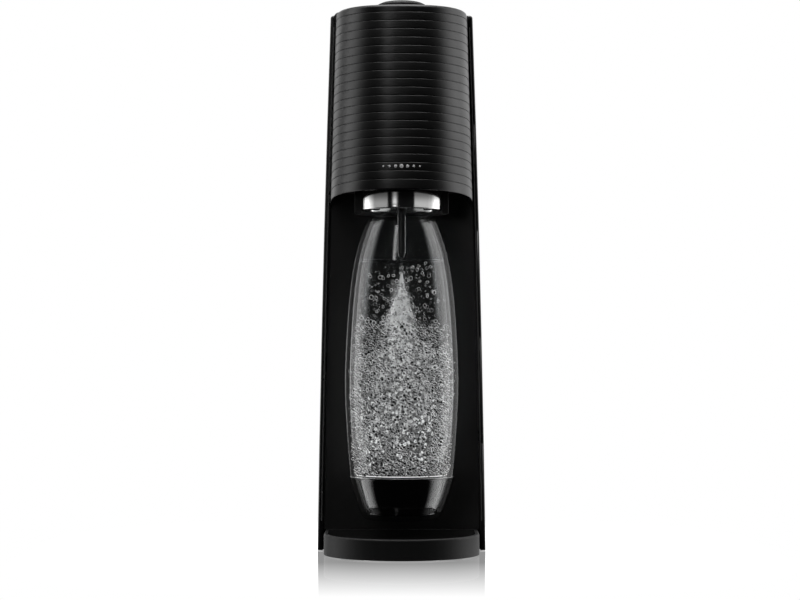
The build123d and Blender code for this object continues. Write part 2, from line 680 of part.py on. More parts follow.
def inlet_fitting():
    """Barbed brass fitting on the manifold."""
    fitting = rod_y(2.5, 28, 36, 18, HOSE_END_Z) + rod_y(4.5, 24.6, 28, 18, HOSE_END_Z)
    fitting += rod_y(1.9, 15, 25, 18, HOSE_END_Z)
    return fitting - rod_y(1.2, 10, 40, 18, HOSE_END_Z)


def hose_path():
    """Route of the gas hose: straight runs joined by the largest arcs that fit."""
    radii = []
    for before, here, after in zip(HOSE_POINTS, HOSE_POINTS[1:], HOSE_POINTS[2:]):
        into = Vector(*here) - Vector(*before)
        out = Vector(*after) - Vector(*here)
        turn = math.radians(into.get_angle(out))
        radii.append(0.45 * min(into.length, out.length) / math.tan(turn / 2))
    print("hose bend radii", [round(r, 1) for r in radii])
    return FilletPolyline(*HOSE_POINTS, radius=radii)


def gas_hose():
    """Pressure hose from the manifold to the swivel elbow."""
    path = hose_path()
    section = Plane(origin=path @ 0, z_dir=path % 0) * (Circle(HOSE_R) - Circle(1.9))
    hose = sweep(section, path)
    print("hose volume ratio", round(hose.volume / (section.area * path.length), 3))
    return hose


def swivel_elbow():
    """Elbow on the hollow tilt pivot, where the gas enters the holder."""
    elbow = rod_x(4.6, BRACKET_OUT + PIN_HEAD, ELBOW_X + 2.4, BOTTLE_Y, TILT_Z)
    elbow += rod_y(2.0, BOTTLE_Y, -33.2, ELBOW_X, TILT_Z)
    return elbow + rod_y(1.7, -33.4, -24, ELBOW_X, TILT_Z)


def hose_clamps():
    """Crimped bands at both ends of the hose."""
    first = rod_y(HOSE_R + 0.6, -31.5, -27.5, ELBOW_X, TILT_Z) - rod_y(HOSE_R, -40, -20, ELBOW_X, TILT_Z)
    second = rod_y(HOSE_R + 0.6, 19, 23, 18, HOSE_END_Z) - rod_y(HOSE_R, 10, 30, 18, HOSE_END_Z)
    return Compound(children=[first, second])


# ---- tilting holder ----
def carbonation_head():
    """Block that the bottle seals against, with pivot bosses and the nozzle bore."""
    flange = tube(MOUTH_R + 0.8, RING_IN, 286, BORE_CEILING + 1.6, y=BOTTLE_Y)
    block_top = rod(HEAD_BLOCK_R, BORE_CEILING, HEAD_BLOCK_TOP, y=BOTTLE_Y)
    roof = rod(RING_IN, BORE_CEILING, BORE_CEILING + 1.6, y=BOTTLE_Y)
    head = flange + roof + fillet(block_top.edges().group_by(Axis.Z)[-1], 2.0)
    head += rod_x(8.0, -36, 36, BOTTLE_Y, TILT_Z)
    head -= both_sides(rod_x(PIVOT_R + RUNNING, 24, 40, BOTTLE_Y, TILT_Z))
    head -= rod(NOZZLE_R, BORE_CEILING - 1, HEAD_BLOCK_TOP - 4, y=BOTTLE_Y)
    head -= both_sides(jaw_slot())
    return head - rod(3.0, HEAD_BLOCK_TOP - 3, HEAD_BLOCK_TOP + 1, RELIEF_X, RELIEF_Y)


def sector(r_in, r_out, half_angle, z0, z1, shift=0.0):
    """Arc-shaped bar centred on +X, round the bottle's axis."""
    reach = 2 * r_out
    spread = reach * math.tan(math.radians(half_angle))
    wedge = Polyline((0, 0), (reach, spread), (reach, -spread), (0, 0))
    prism = Pos(0, 0, z0) * extrude(make_face(wedge), z1 - z0)
    return Pos(shift, BOTTLE_Y, 0) * (prism & tube(r_in, r_out, z0, z1))


def jaw_slot():
    """Slot in the flange that lets a jaw's tab slide outward."""
    return sector(23.0, 28.8, JAW_TAB_ANGLE + 3, 285, 289.4)


def jaw_right():
    """Snap jaw under the bead of the bottle's neck."""
    hook = sector(JAW_IN, JAW_OUT, JAW_HALF_ANGLE, JAW_TOP - JAW_THICK, JAW_TOP)
    tab = sector(23.6, 25.4, JAW_TAB_ANGLE, JAW_TOP - 0.1, 288.8)
    return hook + tab


def holder_ring():
    """Bright band round the holder."""
    ring = tube(RING_IN, RING_OUT, RING_BOTTOM, RING_TOP, y=BOTTLE_Y)
    outer_low = ring.edges().filter_by(GeomType.CIRCLE).group_by(Axis.Z)[0]
    return fillet(outer_low, 0.7)


def holder_collar():
    """Half-round guard behind the neck, hooked over the bright band."""
    guard = tube(RING_OUT + 0.1, COLLAR_OUT, COLLAR_BOTTOM, RING_TOP + 2.6, y=BOTTLE_Y)
    guard += tube(RING_IN, COLLAR_OUT, RING_TOP, RING_TOP + 2.6, y=BOTTLE_Y)
    guard &= block(-WIDTH, WIDTH, BOTTLE_Y - 4, DEPTH, 0, HEIGHT)
    return fillet(guard.edges().filter_by(GeomType.CIRCLE).group_by(Axis.Z)[0], 1.2)


def nozzle_tube():
    return tube(1.6, NOZZLE_R, NOZZLE_TIP_Z + 5, HEAD_BLOCK_TOP - 4, y=BOTTLE_Y)


def nozzle_tip():
    """Tapered jet at the end of the nozzle."""
    low = NOZZLE_TIP_Z
    side = [(2.2, low), (NOZZLE_R, low + 3), (NOZZLE_R, low + 5)]
    outline = Polyline((0.5, low), *side, (0.5, low + 5), (0.5, low))
    return turned(outline, y=BOTTLE_Y)


def bottle_gasket():
    """Rubber ring that the bottle's mouth seals on."""
    return tube(12.0, MOUTH_R + 0.7, MOUTH_TOP + 0.4, BORE_CEILING, y=BOTTLE_Y)


def tilt_pivot_pins():
    """Headed pins through the yoke into the holder's bosses."""
    pin = rod_x(PIVOT_R, 25, BRACKET_OUT, BOTTLE_Y, TILT_Z)
    pin += rod_x(5.0, BRACKET_OUT, BRACKET_OUT + PIN_HEAD, BOTTLE_Y, TILT_Z)
    return Compound(children=[pin, mirror(pin, about=Plane.YZ)])


def safety_valve_body():
    """Body of the over-pressure valve, on top of the holder's block."""
    body = rod(5.5, HEAD_BLOCK_TOP, HEAD_BLOCK_TOP + 14, RELIEF_X, RELIEF_Y)
    body += rod(2.9, HEAD_BLOCK_TOP - 3, HEAD_BLOCK_TOP, RELIEF_X, RELIEF_Y)
    body -= rod(3.6, HEAD_BLOCK_TOP + 2, HEAD_BLOCK_TOP + 12, RELIEF_X, RELIEF_Y)
    return body - rod(1.5, HEAD_BLOCK_TOP - 4, HEAD_BLOCK_TOP + 20, RELIEF_X, RELIEF_Y)


def relief_poppet():
    """Spring-loaded poppet with a pull stem."""
    low = HEAD_BLOCK_TOP + 2.3
    poppet = rod(3.2, low, low + 2, RELIEF_X, RELIEF_Y)
    poppet += rod(1.2, low, HEAD_BLOCK_TOP + 17, RELIEF_X, RELIEF_Y)
    return poppet + rod(3.0, HEAD_BLOCK_TOP + 15.5, HEAD_BLOCK_TOP + 17, RELIEF_X, RELIEF_Y)


def relief_spring():
    low = HEAD_BLOCK_TOP + 4.4
    return coil_spring(2.4, 0.6, low, HEAD_BLOCK_TOP + 12, 5, RELIEF_X, RELIEF_Y)


# ---- bottle ----
def bottle_outer_profile(inset):
    """Outer line of the bottle from the top of the base cup up to the mouth."""
    side = [(r - inset, z) for r, z in reversed(BOTTLE_CURVE)]
    top = [
        (THROAT_R - inset, 268.8),
        (THROAT_R - inset, JAW_TOP),
        (BEAD_R - inset, JAW_TOP + RELEASE_TRAVEL),
        (BEAD_R - inset, JAW_TOP + RELEASE_TRAVEL + 2.6),
    ]
    return side, top


def bottle_solid():
    """The bottle's outside, filled in."""
    side, top = bottle_outer_profile(0)
    seat = BOTTLE_BOTTOM + 4.0
    cup_line = CUP_TOP - 0.6
    outline = Polyline((0, seat), (BOTTLE_FOOT_R, seat))
    outline += Spline(
        (BOTTLE_FOOT_R, seat), (33.0, 45.0), (BOTTLE_CUP_R, cup_line), tangents=[(1, 0.6), (0.15, 1)]
    )
    outline += Line((BOTTLE_CUP_R, cup_line), side[0])
    outline += Spline(*side)
    mouth = [(MOUTH_R, JAW_TOP + RELEASE_TRAVEL + 3.6), (MOUTH_R, MOUTH_TOP)]
    outline += Polyline(side[-1], *top, *mouth, (0, MOUTH_TOP), (0, seat))
    return turned(outline, y=BOTTLE_Y)


def bottle_cavity():
    """The space for the drink."""
    side, top = bottle_outer_profile(BOTTLE_WALL)
    low = BOTTLE_BOTTOM + 4.0 + BOTTLE_WALL
    foot_r = BOTTLE_FOOT_R - BOTTLE_WALL
    cup_r = BOTTLE_CUP_R - BOTTLE_WALL
    above_cup = (side[1][0] - 2.0, side[1][1] - 10)
    outline = Polyline((0, low), (foot_r, low))
    outline += Spline(
        (foot_r, low), (33.0 - BOTTLE_WALL, 46.0), (cup_r, CUP_TOP), tangents=[(1, 0.4), (0.15, 1)]
    )
    outline += Line((cup_r, CUP_TOP), above_cup)
    outline += Spline(above_cup, *side[1:])
    mouth = [(MOUTH_BORE, 272.0), (MOUTH_BORE, MOUTH_TOP + 1), (0, MOUTH_TOP + 1)]
    outline += Polyline(side[-1], *mouth, (0, low))
    return turned(outline, y=BOTTLE_Y)


def bottle_body():
    """Clear blown bottle with an open neck, standing in its base cup."""
    return bottle_solid() - bottle_cavity()


def bottle_base_cup():
    """Black cup on the bottle's foot."""
    low = BOTTLE_BOTTOM
    outline = Polyline((0, low + 1.5), (20.0, low + 1.5), (24.0, low), (28.0, low))
    outline += Spline((28.0, low), (31.4, 33.2), (36.9, 48.1), (40.4, CUP_TOP), tangents=[(1, 0.6), (0.1, 1)])
    outline += Polyline((40.4, CUP_TOP), (0, CUP_TOP), (0, low + 1.5))
    return turned(outline, y=BOTTLE_Y) - bottle_solid()


def build_parts():
    """Every node by name."""
    left_panel, right_panel = side_panels()
    right_jaw = jaw_right()
    makers = [
        base_foot, base_plate, rubber_feet, base_screws, recess_panel, rear_cover, tower_cap,
        head_cover, head_floor, button_bezel, carbonating_button, button_stem, button_guide,
        button_spring, actuator_lever, valve_adjust_screw, lever_pivot_pin, chassis,
        chassis_screws, head_bracket, head_screws, gas_cylinder, cylinder_valve,
        cylinder_collar, valve_pin, quick_connect_block, connector_seal, handle_pivot_pins,
        lock_handle, cylinder_cradle, inlet_fitting, gas_hose, swivel_elbow, hose_clamps,
        carbonation_head, holder_ring, holder_collar, nozzle_tube, nozzle_tip, bottle_gasket,
        tilt_pivot_pins, safety_valve_body, relief_poppet, relief_spring, bottle_body,
        bottle_base_cup,
    ]
    parts = {maker.__name__: maker() for maker in makers}
    parts["foot_deck"] = deck_solid(0)
    parts["side_panel_left"] = left_panel
    parts["side_panel_right"] = right_panel
    parts["jaw_right"] = right_jaw
    parts["jaw_left"] = mirror(right_jaw, about=Plane.YZ)
    return parts


def main():
    os.makedirs("parts", exist_ok=True)
    for name, shape in build_parts().items():
        export_step(shape, os.path.join("parts", name + ".step"))


main()
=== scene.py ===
"""Looks of the soda carbonator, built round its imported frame.

The scene is in metres. Outlines and bubble sizes are written in millimetres and multiplied by MM.
"""
import math
import random

import bmesh
import bpy
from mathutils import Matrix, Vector


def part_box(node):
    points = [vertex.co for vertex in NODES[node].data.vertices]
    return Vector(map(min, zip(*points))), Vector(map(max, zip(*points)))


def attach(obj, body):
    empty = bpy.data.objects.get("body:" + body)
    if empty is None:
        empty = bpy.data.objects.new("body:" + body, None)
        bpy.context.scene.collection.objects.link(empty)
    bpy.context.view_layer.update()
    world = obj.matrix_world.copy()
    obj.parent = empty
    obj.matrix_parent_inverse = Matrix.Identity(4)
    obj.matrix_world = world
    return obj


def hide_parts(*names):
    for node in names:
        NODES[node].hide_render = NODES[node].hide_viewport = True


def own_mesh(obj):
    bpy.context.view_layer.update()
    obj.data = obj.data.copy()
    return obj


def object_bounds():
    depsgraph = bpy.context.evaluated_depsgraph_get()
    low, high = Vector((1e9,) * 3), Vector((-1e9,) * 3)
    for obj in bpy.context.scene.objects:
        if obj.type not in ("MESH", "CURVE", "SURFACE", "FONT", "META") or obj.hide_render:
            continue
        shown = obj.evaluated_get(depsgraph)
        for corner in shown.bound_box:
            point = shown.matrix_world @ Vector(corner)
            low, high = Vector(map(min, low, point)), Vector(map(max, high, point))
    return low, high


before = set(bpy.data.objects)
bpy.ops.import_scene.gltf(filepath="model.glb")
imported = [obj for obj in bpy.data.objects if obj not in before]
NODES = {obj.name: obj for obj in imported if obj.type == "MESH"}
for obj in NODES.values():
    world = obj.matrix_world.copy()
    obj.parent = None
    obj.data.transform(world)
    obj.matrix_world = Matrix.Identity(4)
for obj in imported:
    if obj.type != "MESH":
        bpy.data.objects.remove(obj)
CAD_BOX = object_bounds()

# ---- places taken from the frame ----
BOTTLE_LOW, BOTTLE_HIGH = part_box("bottle_body")
AXIS_Y = (BOTTLE_LOW.y + BOTTLE_HIGH.y) / 2
MM = 0.001


# ---- material building blocks ----
def remapped(tree, source, start, stop, low=0.0, high=1.0, smooth=True):
    """low where the source is at start or before it, high at stop or past it."""
    ramp = tree.nodes.new("ShaderNodeMapRange")
    ramp.interpolation_type = "SMOOTHSTEP" if smooth else "LINEAR"
    ramp.inputs["From Min"].default_value = start
    ramp.inputs["From Max"].default_value = stop
    ramp.inputs["To Min"].default_value = low
    ramp.inputs["To Max"].default_value = high
    tree.links.new(source, ramp.inputs["Value"])
    return ramp.outputs["Result"]


def scaled(tree, first, second):
    """Product of two values; second may be a plain number."""
    times = tree.nodes.new("ShaderNodeMath")
    times.operation = "MULTIPLY"
    tree.links.new(first, times.inputs[0])
    if isinstance(second, (int, float)):
        times.inputs[1].default_value = second
    else:
        tree.links.new(second, times.inputs[1])
    return times.outputs[0]


def raised(tree, source, share, base):
    """source * share + base."""
    node = tree.nodes.new("ShaderNodeMath")
    node.operation = "MULTIPLY_ADD"
    node.inputs[1].default_value = share
    tree.links.new(source, node.inputs[0])
    tree.links.new(base, node.inputs[2])
    return node.outputs[0]


def vector_step(tree, operation, source, by=None):
    """One step of vector arithmetic."""
    node = tree.nodes.new("ShaderNodeVectorMath")
    node.operation = operation
    tree.links.new(source, node.inputs[0])
    if by is not None:
        node.inputs[1].default_value = by
    return node.outputs["Value" if operation == "LENGTH" else "Vector"]


def object_place(tree):
    """The piece's own coordinates, whole and as a node with X, Y and Z outputs."""
    coords = tree.nodes.new("ShaderNodeTexCoord")
    split = tree.nodes.new("ShaderNodeSeparateXYZ")
    tree.links.new(coords.outputs["Object"], split.inputs[0])
    return coords.outputs["Object"], split


def facing_value(tree, start, stop, low, high):
    """low where a surface faces the eye, high where it turns away."""
    facing = tree.nodes.new("ShaderNodeLayerWeight")
    facing.inputs["Blend"].default_value = 0.5
    return remapped(tree, facing.outputs["Facing"], start, stop, low, high)


def principled(name, colour, roughness, metallic=0.0, ior=1.5):
    """Material with one plain Principled shader, to be refined."""
    mat = bpy.data.materials.new(name)
    mat.use_nodes = True
    tree = mat.node_tree
    bsdf = tree.nodes["Principled BSDF"]
    bsdf.inputs["Base Color"].default_value = (*colour, 1)
    bsdf.inputs["Roughness"].default_value = roughness
    bsdf.inputs["Metallic"].default_value = metallic
    bsdf.inputs["IOR"].default_value = ior
    mat.diffuse_color = (*colour, 1)
    return mat, tree, bsdf


def noise_node(tree, scale, detail=3.0, stretch=(1, 1, 1)):
    """Noise in the piece's own coordinates, its cells 1/scale metres across."""
    coords = tree.nodes.new("ShaderNodeTexCoord")
    mapping = tree.nodes.new("ShaderNodeMapping")
    mapping.inputs["Scale"].default_value = stretch
    noise = tree.nodes.new("ShaderNodeTexNoise")
    noise.inputs["Scale"].default_value = scale
    noise.inputs["Detail"].default_value = detail
    tree.links.new(coords.outputs["Object"], mapping.inputs["Vector"])
    tree.links.new(mapping.outputs["Vector"], noise.inputs["Vector"])
    return noise


def spread(tree, noise, low, high):
    """Map a noise value, which keeps near its middle, to low..high."""
    return remapped(tree, noise.outputs["Fac"], 0.3, 0.7, low, high, False)


def mix_colours(tree, factor, first, second):
    """first where the factor is 0, second where it is 1."""
    node = tree.nodes.new("ShaderNodeMix")
    node.data_type = "RGBA"
    node.inputs["A"].default_value = (*first, 1)
    node.inputs["B"].default_value = (*second, 1)
    tree.links.new(factor, node.inputs["Factor"])
    return node.outputs["Result"]


def bump(tree, shader, noise, distance, strength=1.0):
    """Relief on a shader: noise raised by up to distance metres."""
    node = tree.nodes.new("ShaderNodeBump")
    node.inputs["Strength"].default_value = strength
    node.inputs["Distance"].default_value = distance
    tree.links.new(noise.outputs["Fac"], node.inputs["Height"])
    tree.links.new(node.outputs["Normal"], shader.inputs["Normal"])


def glow(shader, strength):
    """White glow of a plain or a linked strength: painted light on parts that are no lamp."""
    shader.inputs["Emission Color"].default_value = (1, 1, 1, 1)
    if isinstance(strength, (int, float)):
        shader.inputs["Emission Strength"].default_value = strength
    else:
        shader.id_data.links.new(strength, shader.inputs["Emission Strength"])


def moulded(name, colour, roughness, grain=2600.0, depth=0.00003, spread_by=0.05, edge_highlight=0.35, ior=1.5):
    """Moulded plastic: fine grain, soft patches in the gloss, and a painted edge highlight that makes sharp
    edges a little lighter.
    """
    mat, tree, bsdf = principled(name, colour, roughness, ior=ior)
    patches = spread(tree, noise_node(tree, 18.0, 4.0), roughness - spread_by, roughness + spread_by)
    tree.links.new(patches, bsdf.inputs["Roughness"])
    # painted highlight: sharp edges, found by pointiness, get a lighter colour
    geometry = tree.nodes.new("ShaderNodeNewGeometry")
    edge = remapped(tree, geometry.outputs["Pointiness"], 0.52, 0.62, 0.0, edge_highlight, False)
    edge_highlight_colour = tuple(min(1.0, c * 2.2 + 0.006) for c in colour)
    tree.links.new(mix_colours(tree, edge, colour, edge_highlight_colour), bsdf.inputs["Base Color"])
    bump(tree, bsdf, noise_node(tree, grain, 2.0), depth)
    return mat


def polished(name, colour, roughness=0.07, coat=0.4):
    """Polished plastic with faint wipe marks and a slow ripple."""
    mat, tree, bsdf = principled(name, colour, roughness)
    bsdf.inputs["Coat Weight"].default_value = coat
    bsdf.inputs["Coat Roughness"].default_value = 0.03
    wipes = noise_node(tree, 60.0, 5.0, (1, 1, 0.25))
    tree.links.new(spread(tree, wipes, roughness * 0.6, roughness * 1.7), bsdf.inputs["Roughness"])
    tint = mix_colours(tree, wipes.outputs["Fac"], colour, tuple(c * 1.5 + 0.001 for c in colour))
    tree.links.new(tint, bsdf.inputs["Base Color"])
    bump(tree, bsdf, noise_node(tree, 35.0, 1.0), 0.0002, 0.12)
    return mat


def metal(name, colour, roughness, stretch=(1, 1, 1), grain=900.0, depth=0.00002, painted_head_shade=None):
    """Bare metal: tool marks along one direction and a little tarnish.

    The last argument is (low z, high z, share): painted shade from the head above; the colour falls to that
    share between the two heights.
    """
    mat, tree, bsdf = principled(name, colour, roughness, 1.0)
    lines = noise_node(tree, grain, 4.0, stretch)
    tree.links.new(spread(tree, lines, roughness * 0.7, roughness * 1.4), bsdf.inputs["Roughness"])
    stain = noise_node(tree, 70.0, 5.0)
    tarnished = mix_colours(tree, stain.outputs["Fac"], colour, tuple(c * 0.86 for c in colour))
    # painted shade: the colour darkens toward the top, standing in for the head's shadow
    if painted_head_shade is not None:
        low, high, share = painted_head_shade
        _, split = object_place(tree)
        head_shade_scale = tree.nodes.new("ShaderNodeVectorMath")
        head_shade_scale.operation = "SCALE"
        tree.links.new(tarnished, head_shade_scale.inputs[0])
        tree.links.new(remapped(tree, split.outputs["Z"], low, high, 1.0, share), head_shade_scale.inputs["Scale"])
        tarnished = head_shade_scale.outputs[0]
    tree.links.new(tarnished, bsdf.inputs["Base Color"])
    bump(tree, bsdf, lines, depth, 0.5)
    return mat


def rubbery(name, colour):
    """Soft rubber with a dusty bloom."""
    mat, tree, bsdf = principled(name, colour, 0.72)
    bloom = noise_node(tree, 140.0, 5.0)
    pale = tuple(c * 1.9 + 0.01 for c in colour)
    tree.links.new(mix_colours(tree, bloom.outputs["Fac"], colour, pale), bsdf.inputs["Base Color"])
    bump(tree, bsdf, noise_node(tree, 1800.0, 2.0), 0.00005)
    return mat


def see_through(name, clear, gloss, roughness, ior=1.5, strength=1.0, head_shade_above=None):
    """Clear skin: passes what is behind it, and mirrors the room more toward its edges.

    It mirrors little above the neck's given height: painted shade from the head over the neck.
    """
    mat = bpy.data.materials.new(name)
    mat.use_nodes = True
    mat.diffuse_color = (*clear, 0.3)
    tree = mat.node_tree
    tree.nodes.clear()
    out = tree.nodes.new("ShaderNodeOutputMaterial")
    passes = tree.nodes.new("ShaderNodeBsdfTransparent")
    passes.inputs["Color"].default_value = (*clear, 1)
    shine = tree.nodes.new("ShaderNodeBsdfGlossy")
    shine.inputs["Color"].default_value = (*gloss, 1)
    shine.inputs["Roughness"].default_value = roughness
    bump(tree, shine, noise_node(tree, 30.0, 1.0, (1, 1, 0.4)), 0.0006, 0.10)
    edge = tree.nodes.new("ShaderNodeFresnel")
    geometry = tree.nodes.new("ShaderNodeNewGeometry")
    either_side = remapped(tree, geometry.outputs["Backfacing"], 0.0, 1.0, ior, 1 / ior, False)
    tree.links.new(either_side, edge.inputs["IOR"])
    share = scaled(tree, edge.outputs[0], strength)
    # painted shade: mirroring cut above the neck's height, standing in for the head's shadow
    if head_shade_above:
        _, split = object_place(tree)
        head_shade_share = remapped(tree, split.outputs["Z"], head_shade_above, head_shade_above + MM, 1.0, 0.15)
        share = scaled(tree, share, head_shade_share)
    pick = tree.nodes.new("ShaderNodeMixShader")
    tree.links.new(share, pick.inputs[0])
    tree.links.new(passes.outputs[0], pick.inputs[1])
    tree.links.new(shine.outputs[0], pick.inputs[2])
    tree.links.new(pick.outputs[0], out.inputs["Surface"])
    return mat


def bubble_material(name, body, rim, painted_glow, dullest):
    """Gas bubble in water: dark and clear in the middle, with a painted highlight where it curves away: white
    and glowing there.

    body and rim are its opacities; brightness varies from bubble to bubble, down to the share dullest.
    """
    mat, tree, bsdf = principled(name, (0.9, 0.9, 0.9), 0.08)
    geometry = tree.nodes.new("ShaderNodeNewGeometry")
    luck = remapped(tree, geometry.outputs["Random Per Island"], 0.0, 1.0, dullest, 1.0, False)
    # painted highlight: the rim is coloured white by how far it turns from the eye
    tree.links.new(facing_value(tree, 0.36, 0.66, body, rim), bsdf.inputs["Alpha"])
    painted_rim = scaled(tree, facing_value(tree, 0.36, 0.66, 0.0, 1.0), luck)
    tree.links.new(mix_colours(tree, painted_rim, (0.002, 0.002, 0.002), (1, 1, 1)), bsdf.inputs["Base Color"])
    # painted highlight: the rims glow
    glow(bsdf, scaled(tree, facing_value(tree, 0.42, 0.80, 0.0, painted_glow), luck))
    return mat


def foam_material(name, cell, cover, painted_glow):
    """Sheet of packed bubbles: bright and dark rings in drifting clouds with a ragged, leaning top; the
    bright rings glow, painted light standing in for light scattered in the foam.

    cell is a bubble's size in metres, and cover the least and the greatest opacity of the clouds.
    """
    mat, tree, bsdf = principled(name, (0.85, 0.86, 0.87), 0.35)
    place, split = object_place(tree)
    cells = tree.nodes.new("ShaderNodeTexVoronoi")
    cells.inputs["Scale"].default_value = 1.0 / cell
    tree.links.new(place, cells.inputs["Vector"])
    tint = tree.nodes.new("ShaderNodeSeparateXYZ")
    tree.links.new(cells.outputs["Color"], tint.inputs[0])
    grain = remapped(tree, tint.outputs["X"], 0.15, 0.85, 0.12, 1.0)
    inner_edge = remapped(tree, cells.outputs["Distance"], 0.10, 0.30, 0.12, 1.0)
    outer_edge = remapped(tree, cells.outputs["Distance"], 0.40, 0.62, 1.0, 0.12)
    bright = scaled(tree, scaled(tree, grain, inner_edge), outer_edge)
    cloud = noise_node(tree, 48.0, 4.0, (1, 1, 0.7))
    drift = remapped(tree, cloud.outputs["Fac"], 0.42, 0.60, cover[0], cover[1])
    ragged = raised(tree, noise_node(tree, 30.0, 2.0).outputs["Fac"], 0.10, split.outputs["Z"])
    leaning = raised(tree, split.outputs["X"], -0.35, ragged)
    height = remapped(tree, leaning, 0.214, 0.166)
    tree.links.new(scaled(tree, drift, height), bsdf.inputs["Alpha"])
    tree.links.new(mix_colours(tree, bright, (0.0, 0.0, 0.0), (0.9, 0.9, 0.9)), bsdf.inputs["Base Color"])
    # painted light: glow in the bright rings
    glow(bsdf, scaled(tree, bright, painted_glow))
    return mat


def jet_material():
    """Fine gas spray: smooth and soft-edged at the nozzle, breaking into grains lower down; it glows, painted
    light standing in for light scattered in the spray.
    """
    mat, tree, bsdf = principled("jet_spray", (0.75, 0.76, 0.77), 0.6)
    _, split = object_place(tree)
    grain = noise_node(tree, 460.0, 3.0)
    broken = tree.nodes.new("ShaderNodeMix")
    broken.inputs["A"].default_value = 0.8
    tree.links.new(remapped(tree, split.outputs["Z"], 0.200, 0.160), broken.inputs["Factor"])
    tree.links.new(remapped(tree, grain.outputs["Fac"], 0.40, 0.60, 0.15, 1.0), broken.inputs["B"])
    lit = broken.outputs["Result"]
    soft = facing_value(tree, 0.03, 0.60, 0.92, 0.0)
    height = remapped(tree, split.outputs["Z"], 0.078, 0.120)
    tree.links.new(scaled(tree, soft, height), bsdf.inputs["Alpha"])
    tree.links.new(mix_colours(tree, lit, (0.01, 0.01, 0.01), (0.85, 0.85, 0.85)), bsdf.inputs["Base Color"])
    # painted light: the spray glows
    glow(bsdf, scaled(tree, lit, 0.36))
    return mat


# ---- camera and studio ----
CAMERA_Y = -1.752
CAMERA_Z = 0.160
LENS = 99.0
SHIFT_X = -0.002
SHIFT_Y = 0.0625
ROOM_RADIANCE = 0.007
FLOOR_HALF = 4.0
MIRROR_SHARE = 0.72      # how much the floor mirrors right beside the machine
MIRROR_REACH = 0.23      # metres over which the mirroring dies away


def make_camera():
    """Level camera in front of the machine, its picture shifted up to hold the whole height."""
    data = bpy.data.cameras.new("camera")
    data.lens = LENS
    data.sensor_width = 36.0
    data.shift_x = SHIFT_X
    data.shift_y = SHIFT_Y
    camera = bpy.data.objects.new("camera", data)
    camera.location = (0, CAMERA_Y, CAMERA_Z)
    camera.rotation_euler = (math.pi / 2, 0, 0)
    bpy.context.scene.collection.objects.link(camera)
    bpy.context.scene.camera = camera


def softbox(name, place, target, width, height, radiance, fade=(0.0, 0.0)):
    """Rectangular studio light that faces its target and isn't seen itself.

    fade gives the shares of its width over which it dims toward its left and right ends.
    """
    data = bpy.data.lights.new(name, "AREA")
    data.shape = "RECTANGLE"
    data.size = width
    data.size_y = height
    data.energy = radiance * math.pi * width * height
    if any(fade):
        data.use_nodes = True
        tree = data.node_tree
        place_on = tree.nodes.new("ShaderNodeNewGeometry")
        split = tree.nodes.new("ShaderNodeSeparateXYZ")
        tree.links.new(place_on.outputs["Parametric"], split.inputs[0])
        ends = []
        if fade[0]:
            ends.append(remapped(tree, split.outputs["X"], 0.0, fade[0]))
        if fade[1]:
            ends.append(remapped(tree, split.outputs["X"], 1.0 - fade[1], 1.0, 1.0, 0.0))
        strength = scaled(tree, *ends) if len(ends) == 2 else ends[0]
        tree.links.new(strength, tree.nodes["Emission"].inputs["Strength"])
    light = bpy.data.objects.new(name, data)
    light.location = place
    light.rotation_euler = (Vector(target) - Vector(place)).to_track_quat("-Z", "Y").to_euler()
    light.visible_camera = False
    bpy.context.scene.collection.objects.link(light)
    return light


def make_lights():
    """Boxes at both sides, behind, in front and overhead."""
    softbox("left_box", (-1.1, 0.27, 0.4), (0, 0.27, 0.4), 1.0, 2.8, 1.7, (0.0, 0.45))
    softbox("left_rear_box", (-1.1, 1.25, 0.4), (0, 1.25, 0.4), 0.9, 2.4, 0.15)
    softbox("right_box", (1.1, 0.29, 0.4), (0, 0.29, 0.4), 1.1, 2.8, 1.8, (0.45, 0.0))
    softbox("right_rear_box", (1.1, 1.25, 0.4), (0, 1.25, 0.4), 0.8, 2.4, 0.8)
    softbox("back_box", (0, 1.7, 0.5), (0, 0, 0.5), 2.2, 2.4, 0.9)
    softbox("front_low", (-0.40, -1.22, 0.40), (0, -0.07, 0.30), 0.44, 0.34, 1.45, (0.5, 0.5))
    softbox("front_high", (-0.33, -0.98, 0.92), (0, -0.07, 0.24), 0.26, 0.5, 4.0, (0.4, 0.4))
    softbox("top_box", (0, 0.0, 1.7), (0, 0.0, 0), 1.4, 1.4, 6.0)


def make_world():
    """Pale backdrop for the camera and the floor's perfect mirroring, dim room for everything else."""
    world = bpy.data.worlds.new("room")
    bpy.context.scene.world = world
    world.use_nodes = True
    tree = world.node_tree
    tree.nodes.clear()
    out = tree.nodes.new("ShaderNodeOutputWorld")
    pick = tree.nodes.new("ShaderNodeMixShader")
    path = tree.nodes.new("ShaderNodeLightPath")
    dim = tree.nodes.new("ShaderNodeBackground")
    pale = tree.nodes.new("ShaderNodeBackground")
    dim.inputs["Color"].default_value = (0.95, 0.97, 1.0, 1)
    dim.inputs["Strength"].default_value = ROOM_RADIANCE
    pale.inputs["Color"].default_value = (1, 1, 1, 1)
    pale.inputs["Strength"].default_value = 1.0
    either = tree.nodes.new("ShaderNodeMath")
    either.operation = "MAXIMUM"
    tree.links.new(path.outputs["Is Camera Ray"], either.inputs[0])
    tree.links.new(path.outputs["Is Singular Ray"], either.inputs[1])
    tree.links.new(either.outputs[0], pick.inputs[0])
    tree.links.new(dim.outputs[0], pick.inputs[1])
    tree.links.new(pale.outputs[0], pick.inputs[2])
    tree.links.new(pick.outputs[0], out.inputs["Surface"])


